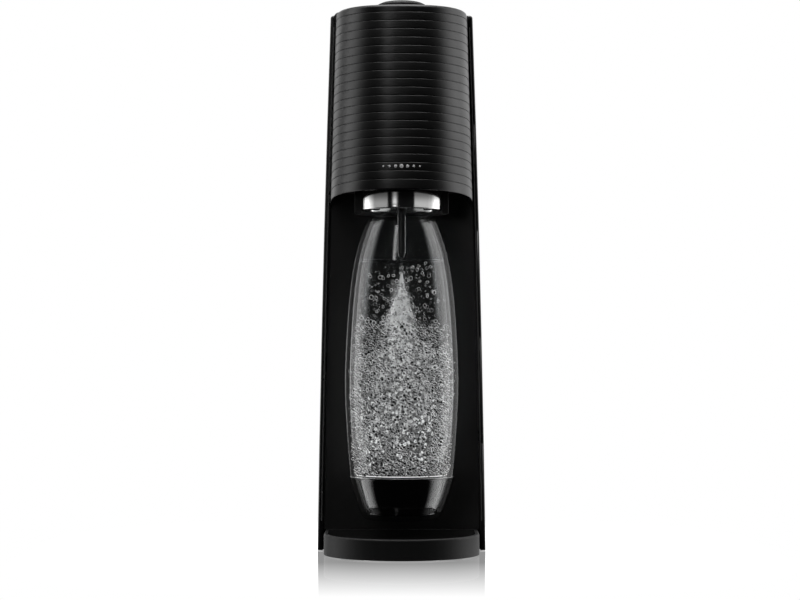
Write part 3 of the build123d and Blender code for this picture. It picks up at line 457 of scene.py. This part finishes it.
def make_floor():
    """White floor; the object is mirrored in it, and the mirroring dies away from the foot."""
    mesh = bpy.data.meshes.new("floor")
    corners = [(x * FLOOR_HALF, y * FLOOR_HALF, 0) for x, y in ((-1, -1), (1, -1), (1, 1), (-1, 1))]
    mesh.from_pydata(corners, [], [(0, 1, 2, 3)])
    floor = bpy.data.objects.new("floor", mesh)
    bpy.context.scene.collection.objects.link(floor)
    mat = bpy.data.materials.new("pale_floor")
    mat.use_nodes = True
    tree = mat.node_tree
    tree.nodes.clear()
    out = tree.nodes.new("ShaderNodeOutputMaterial")
    blend = tree.nodes.new("ShaderNodeMixShader")
    white = tree.nodes.new("ShaderNodeEmission")
    white.inputs["Color"].default_value = (1, 1, 1, 1)
    white.inputs["Strength"].default_value = 1.0
    gloss = tree.nodes.new("ShaderNodeBsdfGlossy")
    gloss.inputs["Color"].default_value = (1, 1, 1, 1)
    gloss.inputs["Roughness"].default_value = 0.0
    middle = (0, (CAD_BOX[0].y + CAD_BOX[1].y) / 2, 0)
    half = [(CAD_BOX[1][i] - CAD_BOX[0][i]) / 2 for i in (0, 1)]
    beyond, _ = object_place(tree)
    steps = [("SUBTRACT", middle), ("ABSOLUTE", None), ("SUBTRACT", (*half, 0))]
    steps += [("MAXIMUM", (0, 0, 0)), ("LENGTH", None)]
    for operation, by in steps:
        beyond = vector_step(tree, operation, beyond, by)
    mirrored = remapped(tree, beyond, 0.0, MIRROR_REACH, MIRROR_SHARE, 0.0, False)
    tree.links.new(mirrored, blend.inputs[0])
    tree.links.new(white.outputs[0], blend.inputs[1])
    tree.links.new(gloss.outputs[0], blend.inputs[2])
    tree.links.new(blend.outputs[0], out.inputs["Surface"])
    mesh.materials.append(mat)
    floor.visible_glossy = False
    floor.visible_transmission = False
    floor.visible_diffuse = False
    floor.visible_shadow = False


# ---- mesh building blocks ----
def add_object(name, mesh, material, body, smooth_angle=35.0):
    """Smooth-shaded piece that rides on a body."""
    mesh.materials.append(material)
    for face in mesh.polygons:
        face.use_smooth = True
    mesh.set_sharp_from_angle(angle=math.radians(smooth_angle))
    piece = bpy.data.objects.new(name, mesh)
    bpy.context.scene.collection.objects.link(piece)
    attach(piece, body)
    return piece


def mesh_from(name, bm):
    """Mesh out of a bmesh, which is used up."""
    mesh = bpy.data.meshes.new(name)
    bm.to_mesh(mesh)
    bm.free()
    return mesh


def curve_through(points, steps=8):
    """Smooth line (Catmull-Rom) through (radius, z) points."""
    ends = [tuple(2 * a - b for a, b in zip(points[0], points[1]))]
    ends += list(points)
    ends.append(tuple(2 * a - b for a, b in zip(points[-1], points[-2])))
    line = []
    for p0, p1, p2, p3 in zip(ends, ends[1:], ends[2:], ends[3:]):
        for step in range(steps):
            line.append(tuple(curve_value(*four, step / steps) for four in zip(p0, p1, p2, p3)))
    line.append(tuple(points[-1]))
    return line


def curve_value(a, b, c, d, t):
    """Value between b and c of the smooth curve that also heeds a and d."""
    bend = 2 * a - 5 * b + 4 * c - d
    twist = 3 * b - a - 3 * c + d
    return 0.5 * (2 * b + (c - a) * t + bend * t * t + twist * t ** 3)


def bridge(bm, low, high):
    """Faces between two rings of points; a ring of one point is a pole."""
    count = max(len(low), len(high))
    if count == 1:
        return
    for k in range(count):
        n = (k + 1) % count
        if len(low) == 1:
            bm.faces.new((low[0], high[n], high[k]))
        elif len(high) == 1:
            bm.faces.new((low[k], low[n], high[0]))
        else:
            bm.faces.new((low[k], low[n], high[n], high[k]))


def lathe(profile, segments=144, closed=False):
    """Solid or shell of revolution about the bottle's axis from (radius, z) points in millimetres."""
    bm = bmesh.new()
    rings = []
    for radius, z in profile:
        if radius < 1e-6:
            rings.append([bm.verts.new((0, AXIS_Y, z * MM))])
            continue
        ring = []
        for k in range(segments):
            a = 2 * math.pi * k / segments
            ring.append(bm.verts.new((radius * MM * math.sin(a), AXIS_Y - radius * MM * math.cos(a), z * MM)))
        rings.append(ring)
    for low, high in zip(rings, rings[1:]):
        bridge(bm, low, high)
    if closed:
        bridge(bm, rings[-1], rings[0])
    bmesh.ops.recalc_face_normals(bm, faces=bm.faces)
    return bm


def add_lathe(name, profile, material, body, replaces=None, segments=144, closed=False, angle=40):
    """Lathed piece on a body; the frame's node that it stands for is hidden."""
    piece = add_object(name, mesh_from(name, lathe(profile, segments, closed)), material, body, angle)
    if replaces:
        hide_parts(replaces)
    return piece


# ---- tower rims (millimetres) ----
TOWER_HIGH = 426.5
TOWER_HALF = (67.0, 56.5)
TOWER_BULGE = 1.05
TRIM_Z = (24.0, 417.0)
TRIM_INSET = 2.9
TRIM_STEPS = 40
TRIM_SECTION = ((-0.45, 0.25), (-0.40, -0.12), (-0.18, -0.26), (0.18, -0.26), (0.40, -0.12), (0.45, 0.25))


# ---- head cover (millimetres; pairs of heights are at the nose and at the seam) ----
HEAD_POWER = 2.4
HEAD_TUCK = 2.4
HEAD_Z = (270.0, 440.0)
HEAD_HALF = (56.35, 51.35)
HEAD_DEPTH = (90.6, 82.0)
HEAD_BOTTOM = (281.4, 277.4)
HEAD_TOP = (422.6, 426.7)
HEAD_LIP = ((0.0, 0.9), (0.25, 0.35), (0.9, 0.0))      # (height over the bottom, inset)
GROOVES = 21
GROOVE_LOW = (289.5, 285.2)
GROOVE_HIGH = (416.9, 420.2)
GROOVE_SECTION = (
    (-0.60, 0.0), (-0.45, 0.05), (-0.12, 0.30), (0.06, 0.40), (0.24, 0.40), (0.34, 0.06), (0.44, 0.0),
)
HEAD_COLUMNS = 176
TOP_ROUND = 2.6
TOP_ROUND_STEPS = 6
HEAD_THICK = 2.4
BUTTON_HOLE_R = 20.6
BUTTON_HOLE_STEPS = 96


def between(pair, t):
    """Value a share t of the way from the first to the second."""
    return pair[0] + (pair[1] - pair[0]) * t


def head_point(angle, fronts, inset):
    """Point on the head's side: fronts is its height at the nose and at the seam."""
    c, s = math.cos(angle), math.sin(angle)
    share = abs(s) ** (2 / HEAD_POWER)
    z = between(fronts, 1 - share)
    t = (z - HEAD_Z[0]) / (HEAD_Z[1] - HEAD_Z[0])
    half = between(HEAD_HALF, t) - inset
    depth = between(HEAD_DEPTH, t) - inset
    return Vector((half * math.copysign(abs(c) ** (2 / HEAD_POWER), c), -depth * share, z)) * MM


def head_rows():
    """(heights, inset) of every row of the head's side, from the lower lip up over the top edge."""
    rows = [((HEAD_BOTTOM[0] + dz, HEAD_BOTTOM[1] + dz), inset) for dz, inset in HEAD_LIP]
    for index in range(GROOVES):
        nose, seam = (between(ends, index / (GROOVES - 1)) for ends in zip(GROOVE_LOW, GROOVE_HIGH))
        rows += [((nose + dz, seam + dz), inset) for dz, inset in GROOVE_SECTION]
    for step in range(TOP_ROUND_STEPS + 1):
        a = math.radians(90 * step / TOP_ROUND_STEPS)
        dz = -TOP_ROUND + TOP_ROUND * math.sin(a)
        rows.append(((HEAD_TOP[0] + dz, HEAD_TOP[1] + dz), TOP_ROUND * (1 - math.cos(a))))
    return rows


def head_shell():
    """Ribbed head: side grid, rounded top edge and sloping top with the button's hole."""
    bm = bmesh.new()
    grid = []
    for fronts, inset in head_rows():
        row = []
        for k in range(HEAD_COLUMNS + 1):
            row.append(bm.verts.new(head_point(math.pi * k / HEAD_COLUMNS, fronts, inset)))
        for end, place in ((row[0], 0), (row[-1], len(row))):
            back = end.co.copy()
            back.y = HEAD_TUCK * MM
            row.insert(place, bm.verts.new(back))
        grid.append(row)
    for low, high in zip(grid, grid[1:]):
        for k in range(len(low) - 1):
            bm.faces.new((low[k + 1], low[k], high[k], high[k + 1]))
    rim = grid[-1]
    seam, nose = rim[1].co, rim[len(rim) // 2].co
    slope = (seam.z - nose.z) / (seam.y - nose.y)
    hole = []
    for k in range(BUTTON_HOLE_STEPS):
        a = 2 * math.pi * k / BUTTON_HOLE_STEPS
        x, y = BUTTON_HOLE_R * MM * math.cos(a), AXIS_Y + BUTTON_HOLE_R * MM * math.sin(a)
        hole.append(bm.verts.new((x, y, seam.z + slope * (y - seam.y))))
    edges = [bm.edges.get((rim[k], rim[k + 1])) for k in range(len(rim) - 1)]
    edges.append(bm.edges.new((rim[-1], rim[0])))
    edges += [bm.edges.new((hole[k], hole[(k + 1) % BUTTON_HOLE_STEPS])) for k in range(BUTTON_HOLE_STEPS)]
    filled = bmesh.ops.triangle_fill(bm, edges=edges, use_beauty=True, use_dissolve=False)
    bmesh.ops.recalc_face_normals(bm, faces=bm.faces)
    if sum(f.normal.z for f in filled["geom"] if isinstance(f, bmesh.types.BMFace)) < 0:
        bmesh.ops.reverse_faces(bm, faces=bm.faces)
    shell = add_object("head_shell", mesh_from("head_shell", bm), satin, "root", 28)
    solid = shell.modifiers.new("wall", "SOLIDIFY")
    solid.thickness = HEAD_THICK * MM
    solid.offset = -1
    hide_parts("head_cover")


# ---- bottle, its cup and the drink: outlines of (radius, z) in millimetres ----
BOTTLE_CURVE = [
    (23.8, 267.0), (30.3, 253.2), (37.3, 228.4), (42.0, 191.0), (44.6, 137.0), (43.1, 96.0), (40.4, 62.1),
]
BOTTLE_FOOT = [(0, 32.7), (24.0, 32.7), (27.2, 33.2), (33.0, 45.0), (37.8, 61.6), (38.2, 62.2)]
BOTTLE_NECK = [
    (22.6, 268.1), (20.8, 268.8), (20.5, 269.6), (20.5, 272.4), (21.7, 276.4), (22.9, 280.0),
    (23.0, 280.8), (23.0, 282.4), (22.4, 283.2), (18.6, 284.0), (18.0, 284.6), (18.0, 289.4), (17.5, 290.0),
]
MOUTH_INNER = [(16.1, 290.0), (15.6, 289.5), (15.6, 272.0)]
FOOT_INNER = [(23.4, 36.3), (29.4, 46.0), (34.4, 62.1)]
WAIST_INNER = (37.5, 86.0)
FLOOR_INNER_Z = 36.3
WALL = 3.6
WATER_Z = 229.3
WATER_GAP = 0.1
CUP_SIDE = [(28.4, 29.1), (30.9, 32.0), (33.6, 38.0), (36.9, 48.1), (39.5, 57.5), (40.3, 61.2)]
CUP_FOOT = [(0, 30.2), (20.0, 30.2), (23.2, 29.3), (24.4, 28.8), (27.2, 28.7)]
CUP_LIP_Z = 61.75
CUP_INSET = 4.0


def bottle_radius(z):
    """Outer radius at height z (millimetres)."""
    line = sorted(curve_through(BOTTLE_CURVE), key=lambda p: p[1])
    for (r0, z0), (r1, z1) in zip(line, line[1:]):
        if z0 <= z <= z1:
            return r0 + (r1 - r0) * (z - z0) / (z1 - z0)
    return line[0][0]


def water_inner(z):
    """Inner radius of the bottle at height z (millimetres)."""
    return bottle_radius(z) - WALL


def bottle_wall():
    """Bottle with real wall thickness: outside up to the mouth, then back down inside."""
    outer = BOTTLE_FOOT + curve_through(list(reversed(BOTTLE_CURVE)), 10) + BOTTLE_NECK
    inside = [(r - WALL, z) for r, z in BOTTLE_CURVE]
    inner = MOUTH_INNER + curve_through([(20.2, 267.0)] + inside[1:-1] + [WAIST_INNER], 10)
    inner += curve_through(list(reversed(FOOT_INNER)))
    inner += [(0, FLOOR_INNER_Z)]
    wall = add_lathe(
        "bottle_wall", outer + inner, bottle_outside, "bottle", "bottle_body", segments=192
    )
    wall.data.materials.append(bottle_inside)
    outside = {round(radius * MM, 7) for radius, _ in outer}
    points = wall.data.vertices
    for face in wall.data.polygons:
        places = [points[v].co for v in face.vertices]
        radii = {round(math.hypot(place.x, place.y - AXIS_Y), 7) for place in places}
        face.material_index = 0 if radii & outside else 1


def make_water():
    """The drink up to its surface, a hair inside the wall, with its rim drawn up the plastic."""
    profile = [(0, FLOOR_INNER_Z + WATER_GAP)]
    profile += curve_through([(r - WATER_GAP, z + WATER_GAP) for r, z in FOOT_INNER])
    inside = [(r - WALL - WATER_GAP, z) for r, z in reversed(BOTTLE_CURVE) if z < WATER_Z]
    reach = water_inner(WATER_Z)
    profile += curve_through([(37.4, 86.0)] + inside[1:] + [(reach - WATER_GAP, WATER_Z)], 10)
    profile += [(reach - 0.5, WATER_Z - 0.45), (reach - 1.6, WATER_Z - 0.7)]
    profile += [(6.0, WATER_Z - 0.7), (4.2, WATER_Z - 0.5), (0, WATER_Z - 0.5)]
    add_lathe("water", profile, water_clear, "bottle", segments=160)


def thin_hoop(name, radius, z, half_width, half_height, material):
    """Hoop of diamond section round the bottle's axis."""
    profile = [(radius - half_width, z), (radius, z - half_height)]
    profile += [(radius + half_width, z), (radius, z + half_height)]
    add_lathe(name, profile, material, "bottle", closed=True)


def bright_lines():
    """Glowing hoops, painted highlights: the bright rim where the drink meets the plastic, and the bright
    cup's lip seen through the foot of the bottle.
    """
    # painted highlight: a glowing hoop for the bright water line
    thin_hoop("water_line", water_inner(WATER_Z) - 0.7, WATER_Z, 0.2, 0.16, meniscus_highlight)
    # painted highlight: a glowing hoop for the bright line at the cup's lip
    thin_hoop("cup_rim", 34.9, 63.2, 0.3, 0.3, cup_rim_glow)


def base_cup():
    """Black cup inside a clear foot skin: flat lip, swelling side, foot ring and dished underside."""
    skin = CUP_FOOT + curve_through(CUP_SIDE) + [(40.35, 61.8), (40.2, 62.1), (38.4, 62.1)]
    core = [(0, 32.6), (24.8, 32.6), (27.4, 33.4)]
    core += curve_through([(r - CUP_INSET, z + 1.6) for r, z in CUP_SIDE[1:-1]] + [(40.3 - CUP_INSET, 61.0)])
    core += [(40.2 - CUP_INSET, 61.7), (39.6 - CUP_INSET, 62.0), (34.6, 62.0), (34.0, 60.0)]
    core += [(29.6, 48.0), (24.0, 37.0), (0, 35.9)]
    cup = lathe(skin, 160)
    skin_faces = len(cup.faces)
    cup.from_mesh(mesh_from("base_cup_core", lathe(core, 160)))
    cup.faces.ensure_lookup_table()
    for index, face in enumerate(cup.faces):
        if index >= skin_faces:
            face.material_index = 0
        elif face.calc_center_median().z > CUP_LIP_Z * MM:
            # painted highlight: the skin's top faces over the lip are a light grey
            face.material_index = 2
        else:
            face.material_index = 1
    piece = add_object("base_cup", mesh_from("base_cup", cup), cup_gloss, "bottle", 40)
    piece.data.materials.append(cup_skin)
    # light grey lip faces: painted highlight
    piece.data.materials.append(cup_lip_sheen)
    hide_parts("bottle_base_cup")


# ---- bubbles and gas jet (millimetres) ----
DRINK_FOOT_Z = 66.0
DRINK_FOOT_R = 36.0
DEEP_Z = 158.0
JET_TOP = 219.5
JET_BOTTOM = 76.0
JET_LEVELS = 110
JET_AROUND = 64
JET_WIDEST = 27.0
PLUME_TOP = 222.0
FOAM_LOW = 64.0
FOAM_HIGH = 196.0
FOAM_STEP = 4
FOAM_WAIST_Z = 86


def sphere_template(subdivisions):
    """Corners and faces of a ball of radius 1."""
    bm = bmesh.new()
    bmesh.ops.create_icosphere(bm, subdivisions=subdivisions, radius=1.0)
    verts = [v.co.copy() for v in bm.verts]
    faces = [[v.index for v in f.verts] for f in bm.faces]
    bm.free()
    return verts, faces


def scatter(name, spots, material, subdivisions):
    """One mesh of many bubbles; each spot is (centre, radius, stretch)."""
    verts, faces = sphere_template(subdivisions)
    all_verts, all_faces = [], []
    for (x, y, z), radius, stretch in spots:
        base = len(all_verts)
        for v in verts:
            all_verts.append((
                (x + v.x * radius * stretch[0]) * MM,
                AXIS_Y + (y + v.y * radius * stretch[1]) * MM,
                (z + v.z * radius * stretch[2]) * MM,
            ))
        all_faces += [[base + i for i in f] for f in faces]
    mesh = bpy.data.meshes.new(name)
    mesh.from_pydata(all_verts, [], all_faces)
    add_object(name, mesh, material, "bottle", 180)


def squashed(rng, amount=0.18):
    """Random stretch along X, Y and Z."""
    return tuple(1 + rng.uniform(-amount, amount) for _ in range(3))


def in_water(rng, z, bias, margin):
    """Random place at height z; bias under 1 gathers places toward the wall, over 1 toward the axis."""
    reach = (water_inner(z) if z > DRINK_FOOT_Z else DRINK_FOOT_R) - margin
    radius = reach * rng.random() ** (bias / 2)
    a = rng.uniform(0, 2 * math.pi)
    return (radius * math.sin(a), -radius * math.cos(a), z)


def swarm(rng, count, heights, crowding, bias, margin, size, squash=0.18, classes=None, deep_margin=None):
    """Bubbles all through the drink.

    crowding over 1 gathers them at the first of the two heights. margin is their distance from the wall, and
    deep_margin the one below DEEP_Z. size is a range, of radius or of shares of one of the radii in classes.
    """
    spots = []
    for _ in range(count):
        z = between(heights, rng.random() ** crowding)
        near = deep_margin if deep_margin is not None and z <= DEEP_Z else margin
        place = in_water(rng, z, bias, near)
        radius = rng.choice(classes) if classes else 1.0
        radius *= rng.uniform(*size)
        spots.append((place, radius, squashed(rng, squash)))
    return spots


def plume_radius(z):
    """Radius of the gas jet's cloud at height z."""
    fall = max(PLUME_TOP - z, 0.0)
    return 0.5 + 0.20 * fall + 0.0024 * fall * fall


def jet_core():
    """Bright spray under the nozzle: a fine point at the tip, then a widening ragged cone."""
    rng = random.Random(3)
    waves = [(rng.uniform(0.05, 0.5), rng.uniform(0, 6.28), rng.randint(1, 5)) for _ in range(9)]
    bm = bmesh.new()
    rings = []
    for level in range(JET_LEVELS + 1):
        z = JET_TOP - (JET_TOP - JET_BOTTOM) * level / JET_LEVELS
        base = plume_radius(z)
        ring = []
        for k in range(JET_AROUND):
            a = 2 * math.pi * k / JET_AROUND
            ragged = sum(math.sin(w * z + p + n * a) for w, p, n in waves)
            share = 1 + 0.05 * ragged * min(1, (JET_TOP - z) / 30)
            r = min(base * max(share, 0.6), JET_WIDEST)
            ring.append(bm.verts.new((r * math.sin(a) * MM, AXIS_Y - r * math.cos(a) * MM, z * MM)))
        rings.append(ring)
    for low, high in zip(rings, rings[1:]):
        bridge(bm, low, high)
    bm.faces.new(rings[0])
    bm.faces.new(list(reversed(rings[-1])))
    bmesh.ops.recalc_face_normals(bm, faces=bm.faces)
    add_object("jet_core", mesh_from("jet_core", bm), jet_spray, "bottle", 60)


def foam_sheets():
    """Nested sheets of packed small bubbles; share is a sheet's part of the bottle's inner radius."""
    for index, (share, material) in enumerate(((0.80, foam_near), (0.66, foam_far))):
        z = FOAM_LOW + index
        profile = [(0, z)]
        while z < FOAM_HIGH:
            profile.append(((water_inner(z) if z > FOAM_WAIST_Z else DRINK_FOOT_R) * share, z))
            z += FOAM_STEP
        profile.append((0, FOAM_HIGH + 1 - index))
        add_lathe(f"foam_sheet_{index + 1}", profile, material, "bottle", segments=96)


def make_bubbles():
    """Large clear bubbles, at the surface, all through the drink and round the jet, and fine ones lower."""
    rng = random.Random(11)
    rings = []
    for _ in range(18):
        t = rng.random()
        spot = (2 + 24 * t, rng.uniform(-6, 2), 221.0 + 6 * t + rng.uniform(-2.6, 2.2))
        rings.append((spot, rng.uniform(0.6, 1.1), squashed(rng)))
    rings += swarm(rng, 170, (222.0, 174.0), 0.7, 1.0, 3.0, (0.85, 1.15), classes=(0.6, 0.8, 1.1, 1.4))
    rings += swarm(rng, 260, (227.0, 167.0), 0.8, 1.0, 2.0, (0.3, 0.55))
    rings += swarm(rng, 420, (184.0, 124.0), 0.9, 0.8, 2.6, (0.8, 1.15), 0.25, classes=(0.7, 1.0, 1.3, 1.7))
    for _ in range(9):
        spot = (rng.uniform(-1.8, 2.4), rng.uniform(-1.5, 1.5), rng.uniform(219.5, 224.5))
        rings.append((spot, rng.uniform(0.7, 1.2), squashed(rng)))
    for _ in range(330):
        z = 212.0 - 74.0 * rng.random() ** 1.1
        a = rng.uniform(-1.6, 1.6)
        r = plume_radius(z) * rng.uniform(0.95, 1.3)
        rings.append(((r * math.sin(a), -r * math.cos(a), z), rng.uniform(0.6, 1.25), squashed(rng)))
    rings += swarm(rng, 1500, (64.0, 160.0), 1.1, 0.45, 2.4, (0.8, 1.5), 0.35)
    fine = swarm(rng, 5200, (64.0, 180.0), 1.7, 0.4, 1.7, (0.7, 1.25), 0.45, deep_margin=0.2)
    scatter("gas_bubbles", rings, bubble_clear, 2)
    scatter("fine_bubbles", fine, bubble_fine, 1)


# ---- bright ring, button, badge and trims (millimetres), springs (metres) ----
DOTS = 7
DOT_PITCH = 4.6
DOT_R = 1.5
DOT_SHRINK = 0.28
DOT_STEPS = 24
DOT_SECTION = ((1.0, -0.15), (1.0, 0.1), (0.85, 0.16), (0.0, 0.18))      # (share of the radius, height)
RING_FILLS = (      # name, (x, y), width, radiance, fade
    ("ring_fill_left", (-0.96, -0.42), 1.15, 0.48, (0.25, 0.0)),
    ("ring_fill_right", (0.96, -0.50), 1.15, 0.75, (0.0, 0.2)),
    ("ring_rim_left", (-0.80, 0.50), 0.7, 0.85, (0.0, 0.0)),
    ("ring_rim_right", (0.80, 0.50), 0.7, 0.8, (0.0, 0.0)),
)


def bright_ring():
    """Rolled band with a small lower lip, and the lights that shine on it alone."""
    profile = [(29.3, 289.8), (29.3, 269.4), (29.7, 268.5), (30.4, 268.2), (30.9, 268.25)]
    profile += [(31.4, 268.55), (31.63, 269.0), (31.65, 269.5), (31.55, 269.9), (31.5, 270.3)]
    profile += [(31.55, 270.8), (31.6, 276.0), (31.6, 289.2), (31.2, 289.8)]
    ring = add_lathe(
        "bright_ring", profile, ring_metal, "holder", "holder_ring", 192, closed=True, angle=30
    )
    only = bpy.data.collections.new("ring_only")
    only.objects.link(ring)
    for name, (x, y), width, radiance, fade in RING_FILLS:
        fill = softbox(name, (x, y, 0.30), (0, -0.04, 0.28), width, 0.8, radiance, fade)
        fill.light_linking.receiver_collection = only
        fill.light_linking.blocker_collection = only


def push_button():
    """Domed cap: shallow dish, rolled shoulder, skirt."""
    profile = [(0, 429.7), (6.0, 429.76), (9.0, 429.95), (10.6, 430.05)]
    profile += curve_through([(11.6, 430.02), (15.3, 429.2), (18.2, 427.9)], 5)
    profile += [(18.8, 427.5), (19.0, 426.9), (19.0, 417.2), (18.8, 417.0)]
    profile += [(17.4, 417.0), (17.2, 417.2), (17.2, 426.2), (0, 426.2)]
    add_lathe("push_button", profile, button_gloss, "button", "carbonating_button")


def badge_dots():
    """Plain row of small dots low on the head, midway between two grooves."""
    bm = bmesh.new()
    pitch = (GROOVE_HIGH[0] - GROOVE_LOW[0]) / (GROOVES - 1)
    middle = between((GROOVE_LOW[0], GROOVE_HIGH[0]), 1 / (GROOVES - 1)) + pitch / 2
    half = between(HEAD_HALF, (middle - HEAD_Z[0]) / (HEAD_Z[1] - HEAD_Z[0]))
    for index in range(DOTS):
        offset = index - (DOTS - 1) / 2
        radius = (DOT_R - DOT_SHRINK * abs(offset)) * MM
        x = offset * DOT_PITCH
        angle = math.pi / 2 - math.copysign(1, x) * math.asin((abs(x) / half) ** (HEAD_POWER / 2))
        centre = head_point(angle, (middle, middle), 0.0)
        rings = []
        for share, lift in DOT_SECTION:
            ring = []
            for k in range(DOT_STEPS if share else 1):
                a = 2 * math.pi * k / DOT_STEPS
                out = share * radius
                ring.append(bm.verts.new(centre + Vector((out * math.cos(a), -lift * MM, out * math.sin(a)))))
            rings.append(ring)
        for low, high in zip(rings, rings[1:]):
            bridge(bm, low, high)
        bm.faces.new(list(reversed(rings[0])))
    bmesh.ops.recalc_face_normals(bm, faces=bm.faces)
    add_object("badge_dots", mesh_from("badge_dots", bm), badge_grey, "root")


def panel_trims():
    """Thin raised line down the front rim of each side panel, in a light grey that paints an edge highlight.
    """
    for name, side in (("panel_trim_left", -1), ("panel_trim_right", 1)):
        bm = bmesh.new()
        rows = []
        for step in range(TRIM_STEPS + 1):
            z = between(TRIM_Z, step / TRIM_STEPS)
            t = z / TOWER_HIGH
            x = between(TOWER_HALF, t) + 4 * TOWER_BULGE * t * (1 - t) - TRIM_INSET
            rows.append([bm.verts.new(((side * x + dx) * MM, dy * MM, z * MM)) for dx, dy in TRIM_SECTION])
        for low, high in zip(rows, rows[1:]):
            bridge(bm, low, high)
        bm.faces.new(rows[0])
        bm.faces.new(list(reversed(rows[-1])))
        bmesh.ops.recalc_face_normals(bm, faces=bm.faces)
        # light grey bead: painted edge highlight
        add_object(name, mesh_from(name, bm), trim_highlight_grey, "root", 50)


def working_spring(node, body):
    """Spring on a body, with the frame's coil as its shape; the frame's own node is hidden."""
    mesh = NODES[node].data.copy()
    mesh.materials.clear()
    mesh.transform(NODES[node].matrix_world)
    coil = add_object(node + "_coil", mesh, zinc, body, 60)
    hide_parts(node)
    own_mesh(coil)


# ---- finishes on the frame's own nodes ----
def finish_node(name, material):
    """Dress one of the frame's own nodes."""
    mesh = NODES[name].data
    mesh.materials.clear()
    mesh.materials.append(material)


make_camera()
make_world()
make_lights()

satin = moulded("satin_black", (0.0048, 0.0048, 0.0049), 0.35, ior=1.4)
recess_satin = moulded("recess_satin", (0.014, 0.014, 0.014), 0.38, grain=2200.0, depth=0.00002)
foot_satin = moulded("foot_satin", (0.0125, 0.0125, 0.0126), 0.56, ior=1.34)
panel = moulded("panel_black", (0.0035, 0.0035, 0.0036), 0.30, grain=2200.0, depth=0.00002)
inner = moulded("inner_black", (0.012, 0.012, 0.012), 0.5, grain=1500.0, depth=0.00006)
lever_grey = moulded("lever_grey", (0.16, 0.16, 0.165), 0.45, grain=1200.0, depth=0.00006)
deck_gloss = polished("deck_gloss", (0.005, 0.005, 0.005), 0.09)
cup_gloss = polished("cup_gloss", (0.003, 0.003, 0.003), 0.05, 1.0)
# the button's painted edge highlight is kept faint
button_gloss = moulded(
    "button_satin", (0.006, 0.006, 0.006), 0.5, grain=1800.0, depth=0.000012, edge_highlight=0.1, ior=1.35
)
# the ring's colour is painted darker toward its top: painted shade from the head above it
ring_metal = metal(
    "ring_metal", (0.64, 0.64, 0.635), 0.10, (1, 1, 14), 300.0, 0.000012, painted_head_shade=(0.2712, 0.2795, 0.25)
)
zinc = metal("zinc_steel", (0.62, 0.62, 0.60), 0.3)
aluminium = metal("cylinder_aluminium", (0.66, 0.67, 0.68), 0.32, (1, 1, 0.05), 1200.0)
brass = metal("valve_brass", (0.72, 0.52, 0.24), 0.28, (1, 1, 6), 700.0)
pink = polished("grip_pink", (0.62, 0.04, 0.16), 0.25, 0.2)
nozzle_grey = polished("nozzle_grey", (0.03, 0.03, 0.03), 0.15, 0.3)
rubber = rubbery("rubber_black", (0.015, 0.015, 0.015))
hose = rubbery("hose_rubber", (0.022, 0.022, 0.024))
# light grey of the panel trims: painted edge highlight
trim_highlight_grey = moulded("trim_highlight_grey", (0.075, 0.075, 0.075), 0.4)
badge_grey = polished("badge_grey", (0.85, 0.85, 0.85), 0.35, 0.1)
# the bottle's mirroring is cut above 261.5 mm: painted shade under the head
bottle_outside = see_through("bottle_outside", (0.98, 0.985, 0.985), (0.9, 0.9, 0.9), 0.03, 1.5, 0.55, 0.2615)
bottle_inside = see_through("bottle_inside", (0.98, 0.985, 0.985), (0.9, 0.9, 0.9), 0.03, 1.5, 1.15, 0.2615)
water_clear = see_through("water", (0.97, 0.975, 0.98), (0.8, 0.8, 0.8), 0.05, 1.33, 0.25)
# light grey for the cup's lip: painted highlight on a black cup
cup_lip_sheen = polished("cup_lip_sheen", (0.35, 0.35, 0.35), 0.12, 0.5)
# the cup's lip hoop glows: painted highlight
cup_rim_glow = polished("cup_rim_glow", (0.7, 0.7, 0.7), 0.3, 0.2)
glow(cup_rim_glow.node_tree.nodes["Principled BSDF"], 0.75)
cup_skin = see_through("cup_skin", (0.85, 0.85, 0.85), (0.8, 0.8, 0.8), 0.03, 1.45, 0.16)
# the water line's hoop is white and glowing: painted highlight
meniscus_highlight = bubble_material("meniscus_highlight", 0.35, 0.6, 0.25, 0.3)
# the bubbles' rims carry a painted highlight: white colour and glow where they turn from the eye
bubble_clear = bubble_material("bubble_clear", 0.22, 1.0, 1.1, 0.1)
bubble_fine = bubble_material("bubble_fine", 0.80, 1.0, 0.80, 0.05)
# the foam sheets glow: painted light for light scattered in the foam
foam_near = foam_material("foam_near", 0.0027, (0.0, 0.8), 0.85)
foam_far = foam_material("foam_far", 0.0031, (0.1, 0.9), 0.75)
# the jet glows: painted light
jet_spray = jet_material()

FINISHES = {
    panel: ["side_panel_left", "side_panel_right", "tower_cap", "rear_cover"],
    foot_satin: ["base_foot"],
    recess_satin: ["recess_panel"],
    deck_gloss: ["foot_deck", "button_bezel"],
    inner: [
        "base_plate", "head_floor", "holder_collar", "button_guide", "head_bracket", "chassis",
        "cylinder_cradle", "jaw_left", "jaw_right", "carbonation_head",
    ],
    lever_grey: ["actuator_lever", "button_stem", "quick_connect_block"],
    nozzle_grey: ["nozzle_tube", "nozzle_tip"],
    rubber: ["rubber_feet", "connector_seal", "bottle_gasket"],
    hose: ["gas_hose"],
    zinc: [
        "base_screws", "chassis_screws", "head_screws", "lever_pivot_pin", "handle_pivot_pins",
        "tilt_pivot_pins", "hose_clamps", "valve_adjust_screw", "valve_pin",
    ],
    aluminium: ["gas_cylinder"],
    brass: ["cylinder_valve", "inlet_fitting", "swivel_elbow", "safety_valve_body", "relief_poppet"],
    pink: ["cylinder_collar", "lock_handle"],
}
for finish, names in FINISHES.items():
    for node_name in names:
        finish_node(node_name, finish)

make_floor()
head_shell()
bottle_wall()
make_water()
bright_lines()
base_cup()
jet_core()
foam_sheets()
make_bubbles()
bright_ring()
push_button()
badge_dots()
panel_trims()
working_spring("button_spring", "root")
working_spring("relief_spring", "holder")

bpy.context.scene.view_settings.view_transform = "Standard"
bpy.context.scene.cycles.transparent_max_bounces = 64
